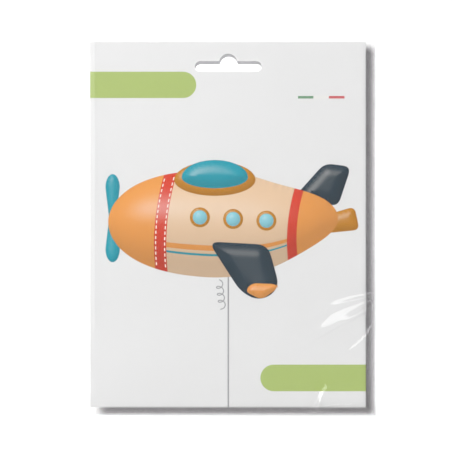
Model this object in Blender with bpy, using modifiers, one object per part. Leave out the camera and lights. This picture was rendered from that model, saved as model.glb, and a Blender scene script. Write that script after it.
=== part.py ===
"""Foil balloon retail pack: a clear film bag, an insert card with a hang slot, and the folded balloon.

The pack hangs upright from its slot. The origin is the top of the slot's peak, where a display peg bears,
half-way through the card. The card's front faces -Y, +X is to its right, and +Z is up.
"""

import math

import bmesh
import bpy

MM = 0.001

# Insert card, measured from the top of the slot's peak
CARD_WIDTH = 166.0
CARD_HEIGHT = 220.0
CARD_THICKNESS = 0.4
CARD_TOP = 7.2
CARD_BOTTOM = CARD_TOP - CARD_HEIGHT
CARD_SIDE = CARD_WIDTH / 2

# Hang slot: a long bar with round ends and a round peak over its middle
SLOT_LENGTH = 40.2
SLOT_BAR_HEIGHT = 6.4
SLOT_PEAK_RISE = 4.5
SLOT_PEAK_HALF_WIDTH = 5.4
SLOT_ARC_STEPS = 10

# Clear film bag
FILM = 0.15
GAP = 0.3
BAG_LEFT = -84.2
BAG_RIGHT = 88.8
BAG_TOP = 9.4
BAG_BOTTOM = -217.8
SIDE_SEAL_WIDTH = 1.2
TOP_SEAL_WIDTH = 0.6
BOTTOM_SEAL_WIDTH = 1.4
SEAL_THICKNESS = 0.8
FOLD_RADIUS = 0.575
FOLD_STEPS = 8

# Inner faces of the two film panels, measured from the card's middle
FILM_STANDOFF = CARD_THICKNESS / 2 + GAP
FILM_AT_SEAL = 0.25
SEAL_APPROACH = 1.2

# Folded balloon behind the card
FOLD_LEFT_TURNS = (-72.4, -70.9)
FOLD_RIGHT_TURNS = (71.6, 72.5)
BUNDLE_TOP = -38.0
BUNDLE_BOTTOM = -205.0
BUNDLE_RUNS = 5
PLY = 0.5
RUN_PITCH = 0.95
TURN_STEPS = 6
FLAP = 0.25
BUNDLE_FRONT = CARD_THICKNESS / 2 + GAP
BUNDLE_BACK = BUNDLE_FRONT + (BUNDLE_RUNS - 1) * RUN_PITCH + PLY
LEVEL_PITCH = FLAP + GAP
FLAP_LEVELS = tuple(BUNDLE_BACK + GAP + level * LEVEL_PITCH for level in range(3))

# Back panel of the bag, which swells over the balloon
SWELL = FLAP_LEVELS[2] + FLAP + GAP - FILM_STANDOFF
SWELL_LEFT = (BAG_LEFT + 1.0, -73.6)
SWELL_RIGHT = (BAG_RIGHT - SIDE_SEAL_WIDTH - GAP, 73.8)
SWELL_BOTTOM = (BAG_BOTTOM + BOTTOM_SEAL_WIDTH + GAP, -207.0)
SWELL_TOP = (-24.0, -36.0)
SLOPE_STEPS = 6
PLATEAU_STEPS = 4

# Flat foil parts of the balloon, as they lie on the folded body
NOSE_BASE_X = -70.5
NOSE_TIP_X = -8.0
NOSE_MIDDLE_Z = -119.0
NOSE_HALF_HEIGHT = 50.0
TAIL_BASE_X = 70.5
TAIL_TIP_X = 13.0
TAIL_MIDDLE_Z = -113.0
TAIL_BASE_HALF_HEIGHT = 36.0
TAIL_TIP_HALF_HEIGHT = 19.0
CANOPY_MIDDLE_X = 6.0
CANOPY_HALF_WIDTH = 32.0
CANOPY_TOP_Z = -40.0
CANOPY_DROP = 23.0
PROPELLER_X = -42.0
PROPELLER_LENGTH = 76.0
PROPELLER_BLADE_WIDTH = 13.0
PROPELLER_WAIST_WIDTH = 6.0
HUB_RADIUS = 7.0
NECK_MIDDLE_X = 44.0
NECK_TOP_Z = -162.0
NECK_BOTTOM_Z = -209.5
NECK_WIDTH = 21.0
NECK_MOUTH_WIDTH = 27.0
CURVE_STEPS = 14

WHITE_BOARD = (0.83, 0.83, 0.82)
CLEAR_FILM = (0.93, 0.95, 0.96)
CREAM_FOIL = (0.83, 0.62, 0.45)
ORANGE_FOIL = (0.80, 0.34, 0.09)
TEAL_FOIL = (0.01, 0.36, 0.49)
NAVY_FOIL = (0.02, 0.06, 0.14)
GOLD_FOIL = (0.60, 0.27, 0.01)
SILVER_FOIL = (0.72, 0.73, 0.74)


def clear_scene():
    for old in list(bpy.data.objects):
        bpy.data.objects.remove(old, do_unlink=True)


def new_collection(name, shown=True):
    made = bpy.data.collections.new(name)
    made.hide_render = not shown
    bpy.context.scene.collection.children.link(made)
    return made


def finish_of(name, colour, roughness, metallic=0.0, alpha=1.0):
    """A Principled material, with the piece's own colour and gloss."""
    material = bpy.data.materials.new(name)
    material.use_nodes = True
    shader = material.node_tree.nodes["Principled BSDF"]
    shader.inputs["Base Color"].default_value = (*colour, 1.0)
    shader.inputs["Roughness"].default_value = roughness
    shader.inputs["Metallic"].default_value = metallic
    shader.inputs["Alpha"].default_value = alpha
    material.diffuse_color = (*colour, alpha)
    return material


def place(name, data, collection, material=None):
    piece = bpy.data.objects.new(name, data)
    collection.objects.link(piece)
    if material is not None:
        data.materials.append(material)
    return piece


def smoothstep(start, end, value):
    """0 at start, 1 at end, and level at both, whichever way the two lie."""
    part = min(max((value - start) / (end - start), 0.0), 1.0)
    return part * part * (3.0 - 2.0 * part)


def stations(start, end, count):
    """Evenly spaced places from start up to, but without, end."""
    return [start + (end - start) * step / count for step in range(count)]


def arc(middle_x, middle_z, radius_x, radius_z, start, end, steps):
    """Points on an arc, with the angles in degrees from +X towards +Z."""
    turns = [math.radians(start + (end - start) * step / steps) for step in range(steps + 1)]
    return [(middle_x + radius_x * math.cos(t), middle_z + radius_z * math.sin(t)) for t in turns]


def slot_outline():
    """The hang slot, from the right end over the peak to the left end and back along the bottom."""
    bar_top = -SLOT_PEAK_RISE
    end_radius = SLOT_BAR_HEIGHT / 2
    middle_z = bar_top - end_radius
    straight = SLOT_LENGTH / 2 - end_radius
    peak_radius = (SLOT_PEAK_HALF_WIDTH**2 + SLOT_PEAK_RISE**2) / (2 * SLOT_PEAK_RISE)
    spread = math.degrees(math.asin(SLOT_PEAK_HALF_WIDTH / peak_radius))
    right = arc(straight, middle_z, end_radius, end_radius, -90, 90, SLOT_ARC_STEPS)
    peak = arc(0, -peak_radius, peak_radius, peak_radius, 90 - spread, 90 + spread, SLOT_ARC_STEPS)
    left = arc(-straight, middle_z, end_radius, end_radius, 90, 270, SLOT_ARC_STEPS)
    return right + peak + left


def flat_piece(name, outline, middle_y, thickness, collection, material=None):
    """A flat piece standing in the XZ plane, from a closed outline."""
    curve = bpy.data.curves.new(name, "CURVE")
    curve.dimensions = "2D"
    curve.fill_mode = "BOTH"
    curve.extrude = thickness / 2 * MM
    spline = curve.splines.new("POLY")
    spline.points.add(len(outline) - 1)
    for point, (x, z) in zip(spline.points, outline):
        point.co = (x * MM, z * MM, 0.0, 1.0)
    spline.use_cyclic_u = True
    piece = place(name, curve, collection, material)
    piece.location = (0.0, middle_y * MM, 0.0)
    piece.rotation_euler = (math.pi / 2, 0.0, 0.0)
    return piece


def slot_cutter(collection):
    """A prism of the slot's outline, long enough to pass the card and both film panels."""
    guide = flat_piece("slot_guide", slot_outline(), 0.0, 12.0, collection)
    bpy.context.view_layer.update()
    evaluated = guide.evaluated_get(bpy.context.evaluated_depsgraph_get())
    mesh = bpy.data.meshes.new_from_object(evaluated)
    solid = bmesh.new()
    solid.from_mesh(mesh)
    bmesh.ops.remove_doubles(solid, verts=solid.verts, dist=1e-7)
    bmesh.ops.recalc_face_normals(solid, faces=solid.faces)
    solid.to_mesh(mesh)
    solid.free()
    cutter = place("slot_cutter", mesh, collection)
    cutter.matrix_world = guide.matrix_world.copy()
    cutter.hide_render = True
    cutter.display_type = "WIRE"
    bpy.data.objects.remove(guide, do_unlink=True)
    return cutter


def punch(piece, cutter):
    cut = piece.modifiers.new("hang_slot", "BOOLEAN")
    cut.operation = "DIFFERENCE"
    cut.solver = "EXACT"
    cut.object = cutter


def block(name, low, high, collection, material):
    """A straight strip or board between two corners."""
    mesh = bpy.data.meshes.new(name)
    shape = bmesh.new()
    bmesh.ops.create_cube(shape, size=1.0)
    for vertex in shape.verts:
        for axis in range(3):
            share = vertex.co[axis] + 0.5
            vertex.co[axis] = (low[axis] + (high[axis] - low[axis]) * share) * MM
    shape.to_mesh(mesh)
    shape.free()
    return place(name, mesh, collection, material)


def film_panel(name, columns, rows, depth, side, collection, material):
    """One panel of film: a grid in the XZ plane, moved to its depth and given its thickness."""
    mesh = bpy.data.meshes.new(name)
    shape = bmesh.new()
    across = len(columns) - 1
    along = len(rows) - 1
    bmesh.ops.create_grid(shape, x_segments=across, y_segments=along, size=0.5)
    for vertex in shape.verts:
        x = columns[round((vertex.co.x + 0.5) * across)]
        z = rows[round((vertex.co.y + 0.5) * along)]
        vertex.co = (x * MM, side * depth(x, z) * MM, z * MM)
    shape.to_mesh(mesh)
    shape.free()
    panel = place(name, mesh, collection, material)
    wall = panel.modifiers.new("film_thickness", "SOLIDIFY")
    wall.thickness = FILM * MM
    wall.offset = -side
    wall.use_even_offset = True
    return panel


def near_seal(x, z):
    """1 where a panel lies clear of the seals, falling to 0 where it meets one."""
    right = smoothstep(SWELL_RIGHT[0], SWELL_RIGHT[0] - SEAL_APPROACH, x)
    top = smoothstep(BAG_TOP - TOP_SEAL_WIDTH - GAP, CARD_TOP + 0.1, z)
    bottom = smoothstep(SWELL_BOTTOM[0], SWELL_BOTTOM[0] + SEAL_APPROACH, z)
    return min(right, top, bottom)


def flat_depth(x, z):
    return FILM_AT_SEAL + (FILM_STANDOFF - FILM_AT_SEAL) * near_seal(x, z)


def swollen_depth(x, z):
    """The back panel lies flat at the header and the rim, and swells over the balloon."""
    across = smoothstep(*SWELL_LEFT, x) * smoothstep(*SWELL_RIGHT, x)
    along = smoothstep(*SWELL_BOTTOM, z) * smoothstep(*SWELL_TOP, z)
    return flat_depth(x, z) + SWELL * across * along


def make_bag(collection, cutter):
    film = finish_of("clear_polypropylene_film", CLEAR_FILM, 0.08, alpha=0.25)
    seal = finish_of("welded_film_edge", CLEAR_FILM, 0.25, alpha=0.45)
    left = SWELL_LEFT[0]
    right = SWELL_RIGHT[0]
    top = BAG_TOP - TOP_SEAL_WIDTH - GAP
    bottom = SWELL_BOTTOM[0]

    # The front panel is flat but for its rim
    front_columns = [left] + stations(-60.0, 60.0, 3) + [60.0, right - SEAL_APPROACH, right]
    front_rows = [bottom, bottom + SEAL_APPROACH] + stations(-160.0, -20.0, 3) + [-20.0, CARD_TOP + 0.1, top]
    front = film_panel("bag_front_film", front_columns, front_rows, flat_depth, -1, collection, film)
    punch(front, cutter)

    # The back panel needs more columns and rows where it slopes
    back_columns = stations(*SWELL_LEFT, SLOPE_STEPS)
    back_columns += stations(SWELL_LEFT[1], SWELL_RIGHT[1], PLATEAU_STEPS)
    back_columns += stations(SWELL_RIGHT[1], SWELL_RIGHT[0] - SEAL_APPROACH, SLOPE_STEPS)
    back_columns += [right - SEAL_APPROACH, right]
    back_rows = [bottom]
    back_rows += stations(bottom + SEAL_APPROACH, SWELL_BOTTOM[1], SLOPE_STEPS)
    back_rows += stations(SWELL_BOTTOM[1], SWELL_TOP[1], PLATEAU_STEPS)
    back_rows += stations(SWELL_TOP[1], SWELL_TOP[0], SLOPE_STEPS)
    back_rows += [SWELL_TOP[0], CARD_TOP + 0.1, top]
    back = film_panel("bag_back_film", back_columns, back_rows, swollen_depth, 1, collection, film)
    punch(back, cutter)

    # The film turns round the card's left edge in a half-round fold
    fold_x = left - GAP
    mesh = bpy.data.meshes.new("bag_left_fold")
    shape = bmesh.new()
    turn = arc(fold_x, 0.0, FOLD_RADIUS, FOLD_RADIUS, 90, 270, FOLD_STEPS)
    chain = [shape.verts.new((x * MM, y * MM, bottom * MM)) for x, y in turn]
    edges = [shape.edges.new(pair) for pair in zip(chain, chain[1:])]
    swept = bmesh.ops.extrude_edge_only(shape, edges=edges)["geom"]
    raised = [item for item in swept if isinstance(item, bmesh.types.BMVert)]
    bmesh.ops.translate(shape, verts=raised, vec=(0.0, 0.0, (top - bottom) * MM))
    bmesh.ops.recalc_face_normals(shape, faces=shape.faces)
    shape.to_mesh(mesh)
    shape.free()
    mesh.shade_smooth()
    fold = place("bag_left_fold", mesh, collection, film)
    wall = fold.modifiers.new("film_thickness", "SOLIDIFY")
    wall.thickness = FILM * MM
    wall.offset = 0.0

    half = SEAL_THICKNESS / 2
    fold_left = fold_x - FOLD_RADIUS - FILM / 2
    corners = (
        ("bag_top_seal", (fold_left, -half, BAG_TOP - TOP_SEAL_WIDTH), (BAG_RIGHT, half, BAG_TOP)),
        ("bag_right_seal", (right + GAP, -half, bottom), (BAG_RIGHT, half, top)),
        ("bag_bottom_seal", (fold_left, -half, BAG_BOTTOM), (BAG_RIGHT, half, bottom - GAP)),
    )
    for name, low, high in corners:
        block(name, low, high, collection, seal)


def make_card(collection, cutter):
    board = finish_of("coated_white_board", WHITE_BOARD, 0.35)
    half = CARD_THICKNESS / 2
    low = (-CARD_SIDE, -half, CARD_BOTTOM)
    high = (CARD_SIDE, half, CARD_TOP)
    punch(block("insert_card", low, high, collection, board), cutter)


def make_body_folds(collection):
    """The fuselage foil, folded to and fro: flat runs joined by half-round turns."""
    radius = RUN_PITCH / 2
    path = []
    for run in range(BUNDLE_RUNS):
        y = BUNDLE_FRONT + PLY / 2 + run * RUN_PITCH
        rightward = run % 2 == 0
        near = (FOLD_LEFT_TURNS if rightward else FOLD_RIGHT_TURNS)[run // 2 % 2]
        far = (FOLD_RIGHT_TURNS if rightward else FOLD_LEFT_TURNS)[run // 2 % 2]
        if run == 0:
            path.append((near, y))
        if run == BUNDLE_RUNS - 1:
            path.append((far, y))
        elif rightward:
            path += arc(far - radius, y + radius, radius, radius, -90, 90, TURN_STEPS)
        else:
            path += arc(far + radius, y + radius, radius, radius, 270, 90, TURN_STEPS)
    mesh = bpy.data.meshes.new("balloon_body_folds")
    shape = bmesh.new()
    chain = [shape.verts.new((x * MM, y * MM, BUNDLE_BOTTOM * MM)) for x, y in path]
    edges = [shape.edges.new(pair) for pair in zip(chain, chain[1:])]
    swept = bmesh.ops.extrude_edge_only(shape, edges=edges)["geom"]
    raised = [item for item in swept if isinstance(item, bmesh.types.BMVert)]
    bmesh.ops.translate(shape, verts=raised, vec=(0.0, 0.0, (BUNDLE_TOP - BUNDLE_BOTTOM) * MM))
    bmesh.ops.recalc_face_normals(shape, faces=shape.faces)
    shape.to_mesh(mesh)
    shape.free()
    folds = place("balloon_body_folds", mesh, collection, finish_of("cream_foil", CREAM_FOIL, 0.3, 0.6))
    wall = folds.modifiers.new("foil_plies", "SOLIDIFY")
    wall.thickness = PLY * MM
    wall.offset = 0.0


def nose_outline():
    """A half-oval that points to +X, from a straight edge at the body's left turn."""
    shoulder = 22.0
    reach = NOSE_TIP_X - NOSE_BASE_X - shoulder
    curve = arc(NOSE_BASE_X + shoulder, NOSE_MIDDLE_Z, reach, NOSE_HALF_HEIGHT, -90, 90, CURVE_STEPS)
    low = NOSE_MIDDLE_Z - NOSE_HALF_HEIGHT
    high = NOSE_MIDDLE_Z + NOSE_HALF_HEIGHT
    return [(NOSE_BASE_X, low)] + curve + [(NOSE_BASE_X, high)]


def tail_outline():
    """A tapering flap that points to -X, with a round end."""
    radius = TAIL_TIP_HALF_HEIGHT
    middle = TAIL_TIP_X + radius * 0.8
    tip = arc(middle, TAIL_MIDDLE_Z, radius * 0.8, radius, 90, 270, CURVE_STEPS)
    low = (TAIL_BASE_X, TAIL_MIDDLE_Z - TAIL_BASE_HALF_HEIGHT)
    high = (TAIL_BASE_X, TAIL_MIDDLE_Z + TAIL_BASE_HALF_HEIGHT)
    return [low, high] + tip


def canopy_outline():
    """A half-oval that hangs from the bundle's top edge."""
    return arc(CANOPY_MIDDLE_X, CANOPY_TOP_Z, CANOPY_HALF_WIDTH, CANOPY_DROP, 180, 360, CURVE_STEPS)


def propeller_outline():
    """Two round-ended blades with a narrow waist at the hub."""
    blade = PROPELLER_BLADE_WIDTH / 2
    waist = PROPELLER_WAIST_WIDTH / 2
    half = PROPELLER_LENGTH / 2
    top = NOSE_MIDDLE_Z + half - blade
    bottom = NOSE_MIDDLE_Z - half + blade
    over = arc(PROPELLER_X, top, blade, blade, 0, 180, CURVE_STEPS)
    under = arc(PROPELLER_X, bottom, blade, blade, 180, 360, CURVE_STEPS)
    left = [(PROPELLER_X - waist, NOSE_MIDDLE_Z)]
    right = [(PROPELLER_X + waist, NOSE_MIDDLE_Z)]
    return over + left + under + right


def neck_outline():
    """The filling tab, a little wider at its open mouth."""
    half = NECK_WIDTH / 2
    mouth = NECK_MOUTH_WIDTH / 2
    flare_z = NECK_BOTTOM_Z + 9.0
    left = [(NECK_MIDDLE_X - half, NECK_TOP_Z), (NECK_MIDDLE_X - half, flare_z)]
    ends = [(NECK_MIDDLE_X - mouth, NECK_BOTTOM_Z), (NECK_MIDDLE_X + mouth, NECK_BOTTOM_Z)]
    right = [(NECK_MIDDLE_X + half, flare_z), (NECK_MIDDLE_X + half, NECK_TOP_Z)]
    return left + ends + right


def fin_outline(root, tip, root_width, tip_radius):
    """A fin from a wide root to a round tip, given by the middles of both."""
    heading = math.atan2(tip[1] - root[1], tip[0] - root[0])
    side_x = -math.sin(heading) * root_width / 2
    side_z = math.cos(heading) * root_width / 2
    turn = math.degrees(heading)
    end = arc(tip[0], tip[1], tip_radius, tip_radius, turn - 80, turn + 80, CURVE_STEPS // 2)
    return [(root[0] - side_x, root[1] - side_z)] + end + [(root[0] + side_x, root[1] + side_z)]


def make_flat_foils(collection):
    orange = finish_of("orange_foil", ORANGE_FOIL, 0.3, 0.6)
    teal = finish_of("teal_foil", TEAL_FOIL, 0.3, 0.6)
    navy = finish_of("navy_foil", NAVY_FOIL, 0.3, 0.6)
    gold = finish_of("gold_foil", GOLD_FOIL, 0.3, 0.6)
    silver = finish_of("silver_foil", SILVER_FOIL, 0.2, 0.9)
    hub = arc(PROPELLER_X, NOSE_MIDDLE_Z, HUB_RADIUS, HUB_RADIUS, 0, 360, 24)[:-1]
    pieces = (
        ("balloon_nose_flap", nose_outline(), 0, orange),
        ("balloon_tail_flap", tail_outline(), 0, orange),
        ("balloon_canopy_flap", canopy_outline(), 0, teal),
        ("balloon_filling_neck", neck_outline(), 0, silver),
        ("balloon_lower_fin", fin_outline((-14.0, -198.0), (6.0, -176.0), 34.0, 5.0), 0, navy),
        ("balloon_upper_fin", fin_outline((63.0, -86.0), (30.0, -104.0), 30.0, 5.0), 1, navy),
        ("balloon_tail_fin", fin_outline((62.0, -134.0), (34.0, -124.0), 18.0, 4.0), 1, gold),
        ("balloon_propeller", propeller_outline(), 1, teal),
        ("balloon_propeller_hub", hub, 2, navy),
    )
    for name, outline, level, material in pieces:
        flat_piece(name, outline, FLAP_LEVELS[level] + FLAP / 2, FLAP, collection, material)


def main():
    clear_scene()
    pack = new_collection("foil_balloon_retail_pack")
    helpers = new_collection("cutters")
    cutter = slot_cutter(helpers)
    make_card(pack, cutter)
    make_bag(pack, cutter)
    make_body_folds(pack)
    make_flat_foils(pack)


main()
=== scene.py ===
"""Looks of a foil balloon retail pack: clear film bag, printed insert card, folded foil balloon.

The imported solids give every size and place. This script dresses them: it prints the card, swells
and wrinkles the film, crumples the folded foil, and sets the pack over a pale floor in soft light.
Lengths are in millimetres until a finished mesh is turned into metres.
"""

import logging
import math
import random
from collections.abc import Callable, Sequence
from dataclasses import dataclass, field
from enum import Enum
from typing import Any

import bpy
import numpy as np
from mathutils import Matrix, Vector, noise


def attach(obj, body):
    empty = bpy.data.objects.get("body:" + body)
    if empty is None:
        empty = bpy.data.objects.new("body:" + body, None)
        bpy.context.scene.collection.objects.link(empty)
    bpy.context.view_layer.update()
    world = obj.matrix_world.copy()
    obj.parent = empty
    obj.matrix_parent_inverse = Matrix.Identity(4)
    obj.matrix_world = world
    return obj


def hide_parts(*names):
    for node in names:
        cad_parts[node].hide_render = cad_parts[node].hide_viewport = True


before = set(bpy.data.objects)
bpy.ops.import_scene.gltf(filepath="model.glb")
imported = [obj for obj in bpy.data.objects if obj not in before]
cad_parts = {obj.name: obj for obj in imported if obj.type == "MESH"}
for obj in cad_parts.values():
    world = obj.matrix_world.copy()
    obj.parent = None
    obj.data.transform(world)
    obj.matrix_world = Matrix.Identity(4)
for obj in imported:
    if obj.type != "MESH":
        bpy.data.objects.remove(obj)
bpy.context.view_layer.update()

LOG = logging.getLogger("retail_pack")
MM = 0.001
CARD_LEFT, CARD_RIGHT, CARD_BOTTOM = -83.0, 83.0, -212.8
Point = tuple[float, float]
Place = tuple[float, float, float]
Form = Callable[[np.ndarray, np.ndarray], np.ndarray]
# A Mix node has its sockets several times over, and these are the ones that take colours
FACTOR, UNDER, OVER, MIXED = 0, 6, 7, 2
BLEND = {"data_type": "RGBA"}
TINT = {"data_type": "RGBA", "blend_type": "MULTIPLY"}


class Facing(Enum):
    """Which way a flat piece looks: towards the shopper or towards the wall."""

    FRONT = -1
    BACK = 1


class FoilPrint(Enum):
    """The plain patterns that are printed on the balloon's foil."""

    PLAIN = "plain"
    STRIPES = "stripes"
    DOTS = "dots"
    BANDS = "bands"


def linear(code: str) -> tuple[float, float, float, float]:
    """Turns an sRGB hex colour into the linear colour that a shader takes.

    Args:
        code: Six hex digits, such as "B5CB74".

    Returns:
        Linear red, green, blue and an alpha of 1.
    """
    parts = [int(code[place : place + 2], 16) / 255 for place in (0, 2, 4)]
    lit = [part / 12.92 if part <= 0.04045 else ((part + 0.055) / 1.055) ** 2.4 for part in parts]
    return lit[0], lit[1], lit[2], 1.0


def new_material(name: str) -> tuple[bpy.types.Material, bpy.types.NodeTree]:
    """Makes a material with only its output node.

    Args:
        name: The finish's name.

    Returns:
        The material and its node tree.
    """
    material = bpy.data.materials.new(name)
    material.use_nodes = True
    tree = material.node_tree
    for node in list(tree.nodes):
        if node.type != "OUTPUT_MATERIAL":
            tree.nodes.remove(node)
    return material, tree


def add(tree: bpy.types.NodeTree, kind: str, settings: dict[str, Any],
        inputs: dict[Any, Any]) -> Any:
    """Adds one shader node with its settings, values and links.

    Args:
        tree: The material's node tree.
        kind: The node's type without its ShaderNode prefix.
        settings: Values of the node's own properties.
        inputs: Input name or number to a value, or to the output socket that feeds it.

    Returns:
        The new node.
    """
    node = tree.nodes.new("ShaderNode" + kind)
    for key, value in settings.items():
        setattr(node, key, value)
    for key, value in inputs.items():
        if isinstance(value, bpy.types.NodeSocket):
            tree.links.new(value, node.inputs[key])
        else:
            node.inputs[key].default_value = value
    return node


def close(tree: bpy.types.NodeTree, shader: bpy.types.NodeSocket) -> None:
    """Links the finished shader to the material's output."""
    output = next(node for node in tree.nodes if node.type == "OUTPUT_MATERIAL")
    tree.links.new(shader, output.inputs["Surface"])


@dataclass(frozen=True)
class CoatedBoard:
    """Folding boxboard, clay-coated and varnished in front and left bare behind.

    The coating gives the eye a clean cool white with a soft sheen, and the back shows short grey
    fibres.
    """

    name: str = "clay_coated_boxboard"
    coating: str = "E5E5E5"
    back: str = "DDDAD3"
    fibre: str = "B9B2A6"
    front_mm: float = 0.19
    fibre_mm: float = 1.4
    relief_mm: float = 0.04
    clouds_per_metre: float = 14.0
    coated_roughness: float = 0.4
    bare_roughness: float = 0.85

    def material(self) -> bpy.types.Material:
        """Builds the board's finish, which tells its front from its back and cut edge by depth.

        Returns:
            The material.
        """
        made, tree = new_material(self.name)
        place = add(tree, "TexCoord", {}, {}).outputs["Object"]
        depth = add(tree, "SeparateXYZ", {}, {"Vector": place}).outputs["Y"]
        test = {0: depth, 1: -self.front_mm * MM}
        front = add(tree, "Math", {"operation": "LESS_THAN"}, test).outputs[0]
        stretch = {"Vector": place, "Scale": (1.0, 1.0, 3.0)}
        grain = add(tree, "Mapping", {}, stretch).outputs[0]
        # Fibres are about 0.03 mm wide, and are drawn coarser so that they show
        scale = 1 / (self.fibre_mm * MM)
        looks = {"Vector": grain, "Scale": scale, "Detail": 4.0, "Roughness": 0.7}
        fibres = add(tree, "TexNoise", {}, looks).outputs["Fac"]
        fibred = {FACTOR: fibres, UNDER: linear(self.fibre), OVER: linear(self.back)}
        bare = add(tree, "Mix", BLEND, fibred).outputs[MIXED]
        looks = {"Vector": place, "Scale": self.clouds_per_metre, "Detail": 2.0}
        cloud = add(tree, "TexNoise", {}, looks).outputs["Fac"]
        tones = {"Value": cloud, "To Min": 0.98, "To Max": 1.0}
        tone = add(tree, "MapRange", {}, tones).outputs[0]
        toned = {FACTOR: 1.0, UNDER: linear(self.coating), OVER: tone}
        coat = add(tree, "Mix", TINT, toned).outputs[MIXED]
        sides = {FACTOR: front, UNDER: bare, OVER: coat}
        both = add(tree, "Mix", BLEND, sides).outputs[MIXED]
        sheens = {"Value": front, "To Min": self.bare_roughness, "To Max": self.coated_roughness}
        rough = add(tree, "MapRange", {}, sheens).outputs[0]
        relief = {"Strength": 0.12, "Distance": self.relief_mm * MM, "Height": fibres}
        bumps = add(tree, "Bump", {}, relief).outputs[0]
        inputs = {"Base Color": both, "Roughness": rough, "Normal": bumps}
        close(tree, add(tree, "BsdfPrincipled", {}, inputs).outputs[0])
        return made


@dataclass(frozen=True)
class PrintingInk:
    """Offset ink on the coated board, satin, with the picture's light and shade in its tones."""

    name: str
    colour: str
    shaded: bool = True
    gleam_colour: str = "FFFBF5"
    grain_mm: float = 0.9
    roughness: float = 0.42

    def material(self) -> bpy.types.Material:
        """Builds the ink, darkened by the piece's shade and whitened by its gleam.

        Returns:
            The material.
        """
        made, tree = new_material(self.name)
        place = add(tree, "TexCoord", {}, {}).outputs["Object"]
        # The print's dots are 0.15 mm apart, and their grain is drawn coarser so that it shows
        looks = {"Vector": place, "Scale": 1 / (self.grain_mm * MM), "Detail": 2.0}
        grain = add(tree, "TexNoise", {}, looks).outputs["Fac"]
        tones = {"Value": grain, "To Min": 0.955, "To Max": 1.045}
        tone = add(tree, "MapRange", {}, tones).outputs[0]
        if self.shaded:
            shade = add(tree, "Attribute", {"attribute_name": "shade"}, {}).outputs["Fac"]
            tone = add(tree, "Math", {"operation": "MULTIPLY"}, {0: tone, 1: shade}).outputs[0]
        toned = {FACTOR: 1.0, UNDER: linear(self.colour), OVER: tone}
        colour = add(tree, "Mix", TINT, toned).outputs[MIXED]
        if self.shaded:
            gleam = add(tree, "Attribute", {"attribute_name": "gleam"}, {}).outputs["Fac"]
            lit = {FACTOR: gleam, UNDER: colour, OVER: linear(self.gleam_colour)}
            colour = add(tree, "Mix", BLEND, lit).outputs[MIXED]
        inputs = {"Base Color": colour, "Roughness": self.roughness, "Specular IOR Level": 0.3}
        close(tree, add(tree, "BsdfPrincipled", {}, inputs).outputs[0])
        return made


@dataclass(frozen=True)
class ClearFilm:
    """Cast polypropylene film, glassy and clear: where it is wrinkled it shows what it mirrors."""

    name: str
    head_on_mirror: float = 0.03
    grazing_power: float = 5.0
    roughness: float = 0.08
    frost: float = 0.0
    frost_tint: str = "F2F4F5"
    clear_tint: str = "FDFDFD"
    painted_shadow_tint: str = "CCCBCC"
    crinkle_mm: float = 9.0
    relief_mm: float = 0.6

    def material(self) -> bpy.types.Material:
        """Builds the film from what it lets through and what it mirrors, most at a grazing look.

        Returns:
            The material.
        """
        made, tree = new_material(self.name)
        place = add(tree, "TexCoord", {}, {}).outputs["Object"]
        scale = 1 / (self.crinkle_mm * MM)
        looks = {"Vector": place, "Scale": scale, "Detail": 3.0, "Distortion": 0.6}
        soft = add(tree, "TexNoise", {}, looks).outputs["Fac"]
        relief = {"Strength": 0.1, "Distance": self.relief_mm * MM, "Height": soft}
        normal = add(tree, "Bump", {}, relief).outputs[0]
        facing = add(tree, "LayerWeight", {}, {"Blend": 0.5, "Normal": normal}).outputs["Facing"]
        power = {0: facing, 1: self.grazing_power}
        steep = add(tree, "Math", {"operation": "POWER"}, power).outputs[0]
        curve = {0: steep, 1: 1 - self.head_on_mirror, 2: self.head_on_mirror}
        mirror = add(tree, "Math", {"operation": "MULTIPLY_ADD"}, curve).outputs[0]
        # Painted shadow: the film's clear tint turns grey where the card's shadow is painted into
        # it
        painted_shadow = add(tree, "Attribute", {"attribute_name": "painted_shadow"}, {}).outputs["Fac"]
        tints = {FACTOR: painted_shadow, UNDER: linear(self.clear_tint), OVER: linear(self.painted_shadow_tint)}
        tint = add(tree, "Mix", BLEND, tints).outputs[MIXED]
        through = add(tree, "BsdfTransparent", {}, {"Color": tint}).outputs[0]
        shine = {"Roughness": self.roughness, "Normal": normal}
        gloss = add(tree, "BsdfGlossy", {}, shine).outputs[0]
        film = add(tree, "MixShader", {}, {0: mirror, 1: through, 2: gloss}).outputs[0]
        if self.frost > 0:
            haze = add(tree, "BsdfDiffuse", {}, {"Color": linear(self.frost_tint)}).outputs[0]
            film = add(tree, "MixShader", {}, {0: self.frost, 1: film, 2: haze}).outputs[0]
        close(tree, film)
        return made


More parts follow.
